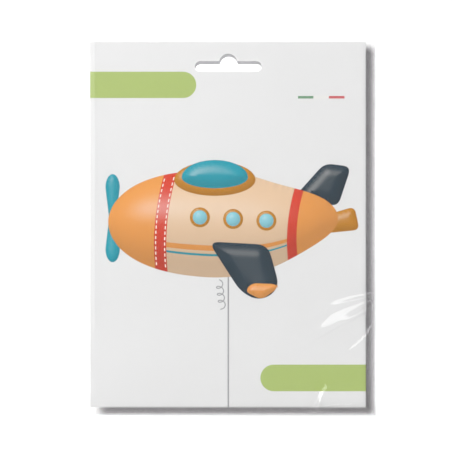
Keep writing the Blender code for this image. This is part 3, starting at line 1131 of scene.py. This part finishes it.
@dataclass
class PressedFolds:
    """The relief of the folded foil, which the layers and the film over them share.

    Large and small creases are each given by how many families there are, how steep they are, and
    the closest and widest spacing. They stray from straight by the sway, and fade in patches.
    """

    seed: int = 5
    large: tuple[int, float, float, float] = (5, 0.15, 14.0, 24.0)
    small: tuple[int, float, float, float] = (7, 0.15, 4.5, 9.0)
    sway: float = 2.5
    patch_size: float = 30.0
    cross_folds: Point = (-94.0, -150.5)
    long_folds: Point = (-24.0, 27.0)
    fold_depth: float = 0.55
    fold_width: float = 2.2
    line_width: float = 0.75

    def rise(self, x: np.ndarray, z: np.ndarray) -> np.ndarray:
        """Adds up straight creases that run in many directions and fade in and out.

        Args:
            x: Places across the pack.
            z: Places up the pack.

        Returns:
            Heights in millimetres, away from the card.
        """
        return self.lay(x, z)[0]

    def lay(self, x: np.ndarray, z: np.ndarray) -> tuple[np.ndarray, np.ndarray]:
        """Lays the creases.

        Args:
            x: Places across the pack.
            z: Places up the pack.

        Returns:
            Heights in millimetres, and how near a crease each place is, from 0 to 1.
        """
        draw = random.Random(self.seed)
        total = np.zeros(x.shape)
        worn = np.zeros(x.shape)
        bend = self.sway * wander(x, z, 28.0, 61.0)
        sizes = [self.large[1:]] * self.large[0] + [self.small[1:]] * self.small[0]
        for steepness, closest, widest in sizes:
            turn, length = draw.uniform(0, math.pi), draw.uniform(closest, widest)
            start, patch = draw.uniform(0, length), draw.uniform(0, 50)
            along = x * math.cos(turn) + z * math.sin(turn) + bend + start
            saw = np.abs(along / length % 2.0 - 1.0) - 0.5
            shown = ease(-0.05, 0.3, wander(x, z, self.patch_size, patch))
            total += steepness * length * saw * shown
            near = np.exp(-(((0.5 - np.abs(saw)) * length / self.line_width) ** 2))
            worn = np.maximum(worn, near * shown)
        folds = [(z, line) for line in self.cross_folds] + [(x, line) for line in self.long_folds]
        for place, line in folds:
            away = np.abs(place - line + 0.5 * bend)
            total -= self.fold_depth * np.exp(-away / self.fold_width)
            worn = np.maximum(worn, np.exp(-((away / self.line_width) ** 2)))
        return total, worn


@dataclass
class FilmBag:
    """The clear bag: a front and a back panel, a fold at the left, and welds on three edges.

    A panel hangs at its standoff from the card's middle plane, comes in to the welds within the
    approach, and wrinkles as soon as they let go of it. The back panel swells over the folded
    balloon: each swell pair is where the swelling starts and where it is whole.
    """

    fold_x: float = -83.5
    fold_radius: float = 0.575
    right: float = 87.65
    top: float = 8.85
    bottom: float = -216.45
    outer_right: float = 88.8
    outer_top: float = 9.4
    outer_bottom: float = -217.8
    overlap: float = 0.05
    standoff: float = 0.575
    at_seal: float = 0.07
    approach: float = 1.5
    let_go: float = 1.4
    wall: float = 0.05
    weld_wall: float = 0.12
    lip_wall: float = 0.1
    rib: float = 1.1
    rib_height: float = 0.13
    painted_shadow_right: Point = (82.7, 83.2)
    painted_shadow_bottom: Point = (-212.5, -213.0)
    pleat_foot: float = -82.9
    pleat_climb: float = 2.8
    pleat_drop: Point = (-79.5, -80.05)
    pleat_height: float = 1.05
    swell: float = 6.25
    swell_left: Point = (-83.2, -73.6)
    swell_right: Point = (87.3, 73.8)
    swell_bottom: Point = (-216.1, -207.0)
    swell_top: Point = (-24.0, -36.0)
    slack: float = 1.5
    wrinkle_seed: int = 11
    slot: HangSlot = field(default_factory=HangSlot)
    pressed: PressedFolds = field(default_factory=PressedFolds)
    film: ClearFilm = field(default_factory=lambda: ClearFilm("cast_polypropylene_film"))
    welded: ClearFilm = field(
        default_factory=lambda: ClearFilm("welded_polypropylene_film", roughness=0.2, frost=0.2)
    )
    lip: ClearFilm = field(
        default_factory=lambda: ClearFilm(
            "painted_shadow_lip_film", roughness=0.15, painted_shadow_tint="C8C8C9"
        )
    )

    def near_seal(self, x: np.ndarray, z: np.ndarray) -> np.ndarray:
        """Tells how clear of the welds a panel lies.

        Args:
            x: Places across the pack.
            z: Places up the pack.

        Returns:
            1 where the panel lies clear of the welds, falling to 0 where it meets one.
        """
        right = ease(self.right, self.right - self.approach, x)
        top = ease(self.top, self.top - self.approach, z)
        bottom = ease(self.bottom, self.bottom + self.approach, z)
        return np.minimum(np.minimum(right, top), bottom)

    def painted_shadow(self, x: np.ndarray, z: np.ndarray) -> np.ndarray:
        """Gives the card's painted shadow: a grey tint in the film beyond the card's right and
        bottom edges.

        Args:
            x: Places across the pack.
            z: Places up the pack.

        Returns:
            Shares of the painted shadow's grey tint, largest beside the card.
        """
        # Painted shadow of the card, darkest beside its edges and paler further out
        beyond = np.maximum(ease(*self.painted_shadow_right, x), 0.92 * ease(*self.painted_shadow_bottom, z))
        away = np.hypot(np.maximum(x - CARD_RIGHT, 0), np.maximum(CARD_BOTTOM - z, 0))
        paler = 1 - 0.66 * ease(0.0, 6.6, away)
        return beyond * paler * ease(7.5, 0.0, z) * ease(-82.0, -72.0, x)

    def front_wrinkles(self) -> list[Wrinkle]:
        """The wrinkles that the photograph shows at the lower right and along the bottom.

        Returns:
            The wrinkles.
        """
        long_fold = [
            (97, -148.2), (87, -152.2), (75, -158.6), (66, -163.2), (57, -168.5), (40, -177),
        ]
        low_fold = [(48, -215.5), (57.1, -213.4), (67.2, -212.2), (74.1, -212.2), (95, -213)]
        # Each has a steep flank and a broader one, which takes the light
        made = [
            Wrinkle(long_fold, 1.4, 3.2, 9.0),
            Wrinkle([(99, -144.7), (88.5, -150.6), (80, -156), (68, -163)], 1.0, 1.1, 2.8),
            Wrinkle([(80, -147.6), (70, -150.2), (60, -153), (44, -158)], 1.2, 0.6, 4.0),
            Wrinkle([(99, -142), (85, -146.4), (74, -149.2), (62, -152)], 0.9, 0.5, 2.2),
            Wrinkle([(90, -161), (84, -170), (77, -176.5), (67, -184)], 1.0, 1.3, 2.4),
            Wrinkle([(61, -199), (56.5, -207), (52.5, -215.5), (50.5, -223)], 1.2, 2.5, 3.6),
            Wrinkle([(59, -206), (54.5, -211.5), (51.0, -217.5)], 0.9, 0.7, 1.6),
            Wrinkle(low_fold, 0.9, 1.3, 2.4),
        ]
        # Short puckers start at the edges
        for start, end, width, height, other in (
            ((83.0, -203), (83.9, -208), 0.8, 0.4, 1.0),
            ((88.5, -160), (82.5, -171), 0.8, 0.5, 1.2),
            ((85.0, -120), (85.8, -134), 0.8, 0.3, 1.0),
            ((-43.6, -209.5), (-47.0, -216), 0.6, 0.35, 0.8),
            ((-41.0, -209.5), (-43.4, -216), 0.6, 0.35, 0.8),
            ((-26.0, -210.5), (-26.9, -215.5), 0.6, 0.3, 0.7),
            ((33.9, -210.0), (33.2, -215.5), 0.6, 0.3, 0.7),
            ((37.0, -210.4), (36.2, -215.5), 0.6, 0.3, 0.7),
        ):
            made.append(Wrinkle([start, end], width, height, other))
        return made

    def plain(self, x: np.ndarray, z: np.ndarray) -> tuple[np.ndarray, np.ndarray, np.ndarray]:
        """Works out how a panel lies before it is wrinkled.

        Args:
            x: Places across the pack.
            z: Places up the pack.

        Returns:
            Its depth, how free of the welds each place is, and how free of welds and fold.
        """
        near = self.near_seal(x, z)
        depth = self.at_seal + (self.standoff - self.at_seal) * near
        free = np.minimum(near * self.let_go, 1.0)
        return depth, free, free * ease(self.fold_x, self.fold_x + self.approach, x)

    def front_form(self, x: np.ndarray, z: np.ndarray) -> np.ndarray:
        """Gives the front panel its shape.

        Args:
            x: Places across the pack.
            z: Places up the pack.

        Returns:
            The panel's places.
        """
        depth, free, loose = self.plain(x, z)
        # The film lies in slow swells with smaller ones on them
        rise = 0.10 * (1 + wander(x, z, 34.0, 3.1)) + 0.03 * (1 + wander(x, z, 11.0, 8.4))
        for wrinkle in self.front_wrinkles():
            rise = rise + wrinkle.rise(x, z)
        # Beside the fold the film rises from the card in one long pleat, and drops back steeply
        climb = np.clip((x - self.pleat_foot) / self.pleat_climb, 0.0, 1.0)
        climb = climb * ease(*self.pleat_drop, x)
        pleat = self.pleat_height * climb * (0.92 + 0.08 * wander(x, z, 20.0, 5.0))
        return np.stack([x, -(depth + loose * rise + free * pleat), z], axis=1)

    def back_wrinkles(self) -> list[Wrinkle]:
        """The wrinkles that run from the folded balloon to the bag's edges.

        Returns:
            The wrinkles.
        """
        draw = random.Random(self.wrinkle_seed)
        made = []
        for x, lean in ((-58, -9), (-31, -5), (-4, 3), (22, 4), (55, 8)):
            points = [(x, -46), (x + lean * 0.5, -30), (x + lean, draw.uniform(-6, 2))]
            made.append(Wrinkle(points, draw.uniform(2.6, 4.0), draw.uniform(0.35, 0.6)))
        for side, edge in ((-1, -83.0), (1, 87.0)):
            for _ in range(6):
                z, lean = draw.uniform(-195, -50), draw.uniform(-9, 9)
                start = side * draw.uniform(58, 68)
                middle = ((start + edge) / 2 + side * 2, z + lean / 2)
                points = [(start, z), middle, (edge, z + lean)]
                made.append(Wrinkle(points, draw.uniform(0.8, 1.6), draw.uniform(0.4, 0.8)))
        # Two run into each corner, from a place nearer the pack's middle
        for start_x, start_z, inner_z, end_x, end_z in (
            (-70, -202, -194, -83, -214),
            (70, -202, -194, 86, -214),
            (-70, -42, -48, -82, -14),
            (70, -42, -48, 84, -12),
        ):
            for sway in (-3.5, 4.0):
                middle = ((start_x + end_x) / 2 + sway, (start_z + end_z) / 2)
                points = [(start_x * 0.88 + sway, inner_z), middle, (end_x, end_z)]
                made.append(Wrinkle(points, draw.uniform(1.7, 2.6), draw.uniform(0.5, 0.8)))
        for _ in range(9):
            x, z, turn = draw.uniform(-60, 50), draw.uniform(-190, -60), draw.uniform(-0.9, 0.9)
            reach, bow = draw.uniform(16, 42), draw.uniform(-4, 4)
            run, climb = reach * math.cos(turn), reach * math.sin(turn)
            points = [(x, z), (x + run / 2 - bow, z + climb / 2 + bow), (x + run, z + climb)]
            made.append(Wrinkle(points, draw.uniform(1.2, 2.4), draw.uniform(0.2, 0.45)))
        return made

    def back_form(self, x: np.ndarray, z: np.ndarray) -> np.ndarray:
        """Gives the back panel its shape, which swells over the folded balloon.

        Args:
            x: Places across the pack.
            z: Places up the pack.

        Returns:
            The panel's places.
        """
        depth, _, loose = self.plain(x, z)
        across = ease(*self.swell_left, x) * ease(*self.swell_right, x)
        along = ease(*self.swell_bottom, z) * ease(*self.swell_top, z)
        swollen = across * along
        rise = 0.22 * (1 + wander(x, z, 26.0, 13.0))
        for wrinkle in self.back_wrinkles():
            rise = rise + wrinkle.rise(x, z)
        # Beside the foil the film is drawn tight, so it takes the creases only where it lies on it
        fine = 0.07 * (1 + wander(x, z, 8.0, 2.4)) + 0.5 * self.pressed.rise(x, z)
        rise = rise + fine * swollen**3
        return np.stack([x, depth + self.swell * swollen + loose * rise, z], axis=1)

    def panel(self, name: str, node: str, facing: Facing, columns: list[float], rows: list[float],
              form: Form) -> bpy.types.Object:
        """Makes one panel of film and punches the slot in it.

        Args:
            name: The panel's name.
            node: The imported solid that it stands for.
            facing: Which way it looks.
            columns: Places of the columns of its net.
            rows: Places of the rows of its net.
            form: Gives the panel's places.

        Returns:
            The panel.
        """
        piece = lattice(name, columns, rows, form)
        x, _, z = read_points(piece).T
        # The panel carries the card's painted shadow beyond the card's right and bottom edges
        note(piece, "painted_shadow", self.painted_shadow(x, z))
        turn_to(piece, facing)
        thicken(piece, self.wall)
        self.slot.punch(piece)
        smooth(piece)
        hand_over(piece, self.film.material())
        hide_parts(node)
        return piece

    def fold(self) -> bpy.types.Object:
        """Makes the half-round fold at the bag's left edge.

        Returns:
            The fold.
        """
        steps = 14
        turns = [90 + 180 * step / steps for step in range(steps + 1)]

        def form(turn: np.ndarray, z: np.ndarray) -> np.ndarray:
            """Bends the strip round, a little unevenly along its length.

            Args:
                turn: How far round each place is, in degrees.
                z: Places up the pack.

            Returns:
                The strip's places.
            """
            bend = np.radians(turn)
            uneven = 1 + 0.12 * np.cos(bend) ** 2 * wander(z, 0 * z, 7.0, 4.0)
            x = self.fold_x + self.fold_radius * uneven * np.cos(bend)
            return np.stack([x, self.fold_radius * np.sin(bend), z], axis=1)

        piece = lattice("film_left_fold", turns, spaced((self.bottom, 1.2), (self.top, 1.0)), form)
        if sum(face.normal.x * face.area for face in piece.data.polygons) > 0:
            piece.data.flip_normals()
        note(piece, "painted_shadow", np.zeros(len(piece.data.vertices)))
        thicken(piece, self.wall)
        smooth(piece)
        hand_over(piece, self.film.material())
        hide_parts("bag_left_fold")
        return piece

    def slot_shadow_lip(self) -> bpy.types.Object:
        """Makes the lip of film along the slot's upper edge, tinted grey as a painted shadow.

        Returns:
            The lip.
        """
        piece = cut_out("film_slot_shadow_lip", self.slot.outline(), 3.0)
        thicken(piece, self.lip_wall)
        # The film is punched a little lower than the card, which leaves a lip; it is tinted grey, a
        # painted shadow along the slot's upper edge
        self.slot.punch(piece, (0.4, -1.9))
        # The whole lip takes the painted shadow's grey tint
        note(piece, "painted_shadow", np.ones(len(piece.data.vertices)))
        smooth(piece)
        hand_over(piece, self.lip.material())
        return piece

    def weld(self, name: str, node: str, start: Point, end: Point) -> bpy.types.Object:
        """Makes one welded edge, pressed into fine ribs across its length.

        Args:
            name: The weld's name.
            node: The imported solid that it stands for.
            start: Its lower left corner.
            end: Its upper right corner.

        Returns:
            The weld.
        """
        long_up = end[1] - start[1] > end[0] - start[0]
        fine, coarse = self.rib / 6, 0.3
        columns = spaced((start[0], coarse if long_up else fine), (end[0], 1.0))
        rows = spaced((start[1], fine if long_up else coarse), (end[1], 1.0))

        def form(x: np.ndarray, z: np.ndarray) -> np.ndarray:
            """Waves the strip in ribs that die out at its two long edges.

            Args:
                x: Places across the pack.
                z: Places up the pack.

            Returns:
                The strip's places.
            """
            along, across = (z, x) if long_up else (x, z)
            low, high = (start[0], end[0]) if long_up else (start[1], end[1])
            share = np.clip((across - low) / (high - low), 0, 1)
            wave = np.sin(2 * math.pi * along / self.rib)
            ribs = self.rib_height * wave * np.sin(math.pi * share) ** 0.5
            return np.stack([x, ribs, z], axis=1)

        piece = lattice(name, columns, rows, form)
        x, _, z = read_points(piece).T
        # The welds take the card's painted shadow, a little darker than the panels
        note(piece, "painted_shadow", self.painted_shadow(x, z) * 1.4)
        thicken(piece, self.weld_wall)
        smooth(piece)
        hand_over(piece, self.welded.material())
        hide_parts(node)
        return piece

    def build(self) -> None:
        """Makes the whole bag: its two panels, the fold, the slot's lip and the three welds."""
        front = self.panel(
            "film_front_panel", "bag_front_film", Facing.FRONT,
            spaced((self.fold_x, 0.35), (-78.0, 2.2), (26.0, 0.75), (self.right, 1.0)),
            spaced((self.bottom, 0.75), (-136.0, 2.2), (self.top - 2.0, 0.5), (self.top, 1.0)),
            self.front_form,
        )
        back = self.panel(
            "film_back_panel", "bag_back_film", Facing.BACK,
            spaced((self.fold_x, 0.8), (-56.0, 1.25), (56.0, 0.9), (self.right, 1.0)),
            spaced((self.bottom, 0.9), (-196.0, 1.35), (-44.0, 0.9), (self.top, 1.0)),
            self.back_form,
        )
        left, right = self.fold_x - self.fold_radius, self.right - self.overlap
        low, high = self.bottom + self.overlap, self.top - self.overlap
        edge = self.outer_right
        welds = (
            ("film_top_weld", "bag_top_seal", (left, high), (edge, self.outer_top)),
            ("film_right_weld", "bag_right_seal", (right, self.bottom), (edge, self.top)),
            ("film_bottom_weld", "bag_bottom_seal", (left, self.outer_bottom), (edge, low)),
        )
        pieces = [self.fold(), self.slot_shadow_lip()] + [self.weld(*weld) for weld in welds]


@dataclass
class FoilFlap:
    """One flat foil part of the balloon, as it lies on the folded body."""

    name: str
    node: str
    slot: str
    outline: list[Point]
    depth: float
    finish: PrintedFoil
    seed: float
    spacing: float = 0.9
    wall: float = 0.12
    pucker: float = 0.05
    weld_depth: float = 0.07
    proud: float = 0.21
    weld_edge: Point = (2.8, 5.0)
    pressed: PressedFolds = field(default_factory=PressedFolds)

    def build(self) -> bpy.types.Object:
        """Cuts the part out, crumples it and puckers its welded edge.

        Returns:
            The part.
        """
        piece = cut_out(self.name, self.outline, self.spacing)
        x, _, z = read_points(piece).T
        edge = Line(self.outline, closed=True)
        inward, along, _ = edge.nearest(x, z)
        ripple = np.sin(along * 2.0 + 2 * np.sin(along * 0.31)) * np.exp(-inward / 3.5)
        rise, creased = self.pressed.lay(x, z)
        rise = rise + 0.05 * wander(x, z, 14.0, self.seed) + self.pucker * ripple
        # The weld is pressed down, and the foil inside it stands a little proud
        rise = rise - self.weld_depth + self.proud * ease(*self.weld_edge, inward)
        write_points(piece, np.stack([x, self.depth + rise, z], axis=1))
        note(piece, "inward", inward)
        note(piece, "creased", creased)
        turn_to(piece, Facing.BACK)
        thicken(piece, self.wall)
        smooth(piece, 60.0)
        hand_over(piece, self.finish.material())
        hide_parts(self.node)
        return piece


@dataclass
class FoldedBalloon:
    """The balloon, let down and folded flat behind the card: a folded body, and flat parts on it.

    The body's foil runs to and fro, and turns a little further in or out each time it comes back to
    a side. Its outermost run shows through the film, so the runs under it have fewer columns.
    """

    runs: int = 5
    spacings: tuple[float, ...] = (12.0, 12.0, 6.0, 3.0, 1.0)
    front: float = 0.75
    pitch: float = 0.95
    left_turns: Point = (-72.4, -70.9)
    right_turns: Point = (71.6, 72.5)
    top: float = -38.0
    bottom: float = -205.0
    wall: float = 0.1
    levels: Place = (5.27, 5.82, 6.37)
    nose_z: float = -119.0
    pressed: PressedFolds = field(default_factory=PressedFolds)

    def path(self) -> tuple[np.ndarray, np.ndarray]:
        """Follows the body's foil to and fro.

        Returns:
            Points along the foil, rows of across and depth, and how far along each lies.
        """
        radius, turn_steps = self.pitch / 2, 8
        made: list[Point] = []
        for run in range(self.runs):
            y = self.front + run * self.pitch
            rightward = run % 2 == 0
            sides = (self.left_turns, self.right_turns)
            first, second = sides if rightward else sides[::-1]
            near, far = first[run // 2 % 2], second[run // 2 % 2]
            way = 1 if rightward else -1
            last = run == self.runs - 1
            stop = far if last else far - way * radius
            start = near if run == 0 else made[-1][0]
            places = spaced((start, self.spacings[run]), (stop, 1.0))
            made += [(x, y) for x in places[0 if run == 0 else 1 :]]
            if not last:
                angles = (-90, 90) if rightward else (270, 90)
                made += arc((stop, y + radius), (radius, radius), *angles, turn_steps)[1:]
        chain = np.array(made)
        steps = np.hypot(*np.diff(chain, axis=0).T)
        return chain, np.concatenate([[0.0], np.cumsum(steps)])

    def body_folds(self) -> bpy.types.Object:
        """Makes the body's foil, folded to and fro.

        Returns:
            The folded foil.
        """
        chain, lengths = self.path()
        outermost = self.front + (self.runs - 1) * self.pitch

        def form(place: np.ndarray, z: np.ndarray) -> np.ndarray:
            """Sets points on their runs, which follow the relief more the further out they lie.

            Args:
                place: Which of the chain's points each one belongs to.
                z: Places up the pack.

            Returns:
                The foil's places.
            """
            x, y = chain[place.astype(int)].T
            own = 0.04 * wander(x + 9.0 * y, z, 16.0, 2.0)
            return np.stack([x, y + self.pressed.rise(x, z) * y / outermost + own, z], axis=1)

        rows = spaced((self.bottom, 1.0), (self.top, 1.0))
        piece = lattice("foil_body_folds", range(len(chain)), rows, form)
        x, _, z = read_points(piece).T
        note(piece, "inward", np.minimum(z - self.bottom, self.top - z))
        note(piece, "creased", self.pressed.lay(x, z)[1])
        thicken(piece, self.wall)
        smooth(piece, 60.0)
        finish = PrintedFoil(
            "cream_printed_foil", "DDB790", "CF3A22", "D08C10", FoilPrint.BANDS,
            pitch_mm=6.0, start_mm=24.0, crease_mm=8.0,
        )
        hand_over(piece, finish.material())
        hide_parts("balloon_body_folds")
        return piece

    @staticmethod
    def fin(root: Point, tip: Point, root_width: float, tip_radius: float) -> list[Point]:
        """Draws a fin from a wide root to a round tip.

        Args:
            root: The root's middle.
            tip: The tip's middle.
            root_width: The root's width.
            tip_radius: The tip's radius.

        Returns:
            The closed outline.
        """
        heading = math.degrees(math.atan2(tip[1] - root[1], tip[0] - root[0]))
        across = math.radians(heading + 90)
        side_x, side_z = math.cos(across) * root_width / 2, math.sin(across) * root_width / 2
        round_tip = arc(tip, (tip_radius, tip_radius), heading + 90, heading - 90, 12)
        first, last = (root[0] + side_x, root[1] + side_z), (root[0] - side_x, root[1] - side_z)
        return [first] + round_tip + [last]

    def flaps(self) -> list[FoilFlap]:
        """The balloon's flat parts, from the lowest level up.

        Returns:
            The parts.
        """
        low, middle, high = self.levels
        z, left = self.nose_z, -70.5
        nose = [(left, z - 50)] + arc((-48.5, z), (40.5, 50), -90, 90) + [(left, z + 50)]
        tail = [(70.5, -149), (70.5, -77)] + arc((28.2, -113), (15.2, 19), 90, 270)
        canopy = arc((6, -40), (32, 23), 180, 360, 20)
        blades = arc((-42, z + 31.5), (6.5, 6.5), 0, 180) + [(-45, z)]
        blades += arc((-42, z - 31.5), (6.5, 6.5), 180, 360) + [(-39, z)]
        # The neck is a tube that flares at its foot
        neck = [(33.5, -162), (33.5, -200.5), (30.5, -209.5)]
        neck += [(57.5, -209.5), (54.5, -200.5), (54.5, -162)]
        lower_fin = self.fin((-14, -198), (6, -176), 34, 5)
        upper_fin = self.fin((63, -86), (30, -104), 30, 5)
        tail_fin = self.fin((62, -134), (34, -124), 18, 4)
        hub = arc((-42, z), (7, 7), 0, 350, 35)
        bands, dots, stripes = FoilPrint.BANDS, FoilPrint.DOTS, FoilPrint.STRIPES
        orange = PrintedFoil(
            "orange_printed_foil", "DD7E2C", "CF3A22", "F2DCC0", bands, pitch_mm=6.0, start_mm=-36.0
        )
        dotted = PrintedFoil("orange_dotted_foil", "DD7E2C", "CC3520", pattern=dots, pitch_mm=7.5)
        teal = PrintedFoil("teal_printed_foil", "0E8CA5", "0A6C84", pattern=stripes, pitch_mm=9.0)
        navy = PrintedFoil("navy_dotted_foil", "17324A", "D6930F", pattern=dots, pitch_mm=6.0)
        gold = PrintedFoil("gold_printed_foil", "C9860A", metallic=0.7)
        silver = PrintedFoil("bare_aluminised_foil", "D9DADC", metallic=0.95, roughness=0.32)
        made = []
        for part, slot, outline, depth, finish, seed in (
            ("nose_flap", "orange_foil", nose, low, orange, 4.0),
            ("tail_flap", "orange_foil", tail, low, dotted, 9.0),
            ("canopy_flap", "teal_foil", canopy, low, teal, 14.0),
            ("filling_neck", "silver_foil", neck, low, silver, 18.0),
            ("lower_fin", "navy_foil", lower_fin, low, navy, 22.0),
            ("upper_fin", "navy_foil", upper_fin, middle, navy, 27.0),
            ("tail_fin", "gold_foil", tail_fin, middle, gold, 31.0),
            ("propeller", "teal_foil", blades, middle, teal, 36.0),
            ("propeller_hub", "navy_foil", hub, high, navy, 41.0),
        ):
            names = (f"foil_{part}", f"balloon_{part}")
            made.append(FoilFlap(*names, slot, outline, depth, finish, seed))
        return made

    def build(self) -> None:
        """Makes the folded body and every flat part on it."""
        self.body_folds()
        for flap in self.flaps():
            flap.build()


@dataclass
class Studio:
    """A pale round floor that sweeps up into a wall, soft lights, and the camera, in metres."""

    floor_z: float = -0.245
    floor_radius: float = 1.15
    sweep: float = 0.5
    wall_top: float = 1.3
    frame_width: float = 0.272
    lens: float = 100.0
    clip: Point = (0.01, 20.0)
    sky_strength: float = 0.5
    centre: Place = (-0.0013, 0.0, -0.1037)
    paint: StudioPaint = field(default_factory=StudioPaint)

    def bowl(self) -> None:
        """Turns the floor's profile round the upright axis."""
        edge, sweep = self.floor_radius, self.sweep
        rings = spaced((0.0, 0.1), (edge, 1.0))[:-1]
        profile = [(radius, self.floor_z) for radius in rings]
        profile += arc((edge, self.floor_z + sweep), (sweep, sweep), -90, 0, 16)
        profile.append((edge + sweep, self.wall_top))

        def form(turn: np.ndarray, place: np.ndarray) -> np.ndarray:
            """Turns one point of the profile."""
            radius, z = np.array(profile)[place.astype(int)].T
            return np.stack([radius * np.cos(turn), radius * np.sin(turn), z], axis=1)

        steps = 96
        turns = [2 * math.pi * step / steps for step in range(steps + 1)]
        floor = lattice("studio_floor", turns, range(len(profile)), form)
        only(floor)
        bpy.ops.object.mode_set(mode="EDIT")
        bpy.ops.mesh.select_all(action="SELECT")
        bpy.ops.mesh.remove_doubles(threshold=1e-5)
        bpy.ops.object.mode_set(mode="OBJECT")
        if sum(face.normal.z * face.area for face in floor.data.polygons) < 0:
            floor.data.flip_normals()
        smooth(floor)
        floor.data.materials.append(self.paint.material())

    def softbox(self, name: str, place: Place, size: Point, watts: float, aim: Place,
                spread: float) -> None:
        """Sets up one softbox.

        Args:
            name: The light's name.
            place: Its place in metres.
            size: Its width and height in metres.
            watts: Its power.
            aim: What it looks at.
            spread: How wide it shines in degrees, which a grid before it narrows.
        """
        light = bpy.data.lights.new(name, "AREA")
        light.shape = "RECTANGLE"
        light.size, light.size_y = size
        light.energy = watts
        light.spread = math.radians(spread)
        lamp = bpy.data.objects.new(name, light)
        bpy.context.scene.collection.objects.link(lamp)
        lamp.location = place
        way = Vector(aim) - Vector(place)
        lamp.rotation_euler = way.to_track_quat("-Z", "Y").to_euler()
        lamp.visible_camera = False

    def lights(self) -> None:
        """Sets up the softboxes round the pack and the faint light from all round."""
        pack, wall, floor = self.centre, (0.0, 1.62, -0.05), (0.0, 0.60, self.floor_z)
        for name, place, size, watts, aim, spread in (
            ("key", (-0.62, -0.80, 0.40), (0.45, 0.45), 2.85, pack, 180.0),
            ("side", (-0.70, -0.62, -0.10), (0.3, 1.0), 1.1, pack, 180.0),
            ("upper", (-0.30, -1.08, 0.38), (1.1, 0.26), 3.2, pack, 180.0),
            ("fill", (0.85, -0.65, 0.15), (0.6, 0.6), 1.0, pack, 180.0),
            ("back", (0.55, 0.85, 0.45), (0.25, 0.25), 1.2, pack, 180.0),
            ("raking", (1.05, 0.38, 0.35), (0.3, 0.6), 2.0, pack, 180.0),
            ("back_fill", (-0.75, 0.60, 0.10), (0.2, 0.6), 1.0, pack, 180.0),
            ("backdrop", (0.0, 0.95, 0.95), (0.7, 0.4), 2.0, wall, 70.0),
            ("top", (0.0, 0.55, 0.95), (0.8, 0.6), 3.0, floor, 90.0),
        ):
            self.softbox(f"{name}_softbox", place, size, watts, aim, spread)
        world = bpy.data.worlds.new("soft_sky")
        world.use_nodes = True
        sky = world.node_tree.nodes["Background"]
        sky.inputs["Color"].default_value = (1.0, 1.0, 1.0, 1.0)
        sky.inputs["Strength"].default_value = self.sky_strength
        bpy.context.scene.world = world

    def camera(self) -> None:
        """Sets up the camera, straight in front of the pack."""
        lens = bpy.data.cameras.new("shop_camera")
        lens.lens = self.lens
        lens.clip_start, lens.clip_end = self.clip
        camera = bpy.data.objects.new("shop_camera", lens)
        away = self.frame_width * self.lens / lens.sensor_width
        camera.location = (self.centre[0], -away, self.centre[2])
        camera.rotation_euler = (math.radians(90), 0.0, 0.0)
        bpy.context.scene.collection.objects.link(camera)
        bpy.context.scene.camera = camera

    def build(self) -> None:
        """Sets up the floor, the lights and the camera."""
        self.bowl()
        self.lights()
        self.camera()
        bpy.context.scene.view_settings.view_transform = "Standard"


def main() -> None:
    """Builds the studio and dresses the pack from the card outwards."""
    logging.basicConfig(level=logging.INFO, format="%(message)s")
    Studio().build()
    InsertCard().dress()
    CardPrint().build()
    FoldedBalloon().build()
    FilmBag().build()


if __name__ == "__main__":
    main()
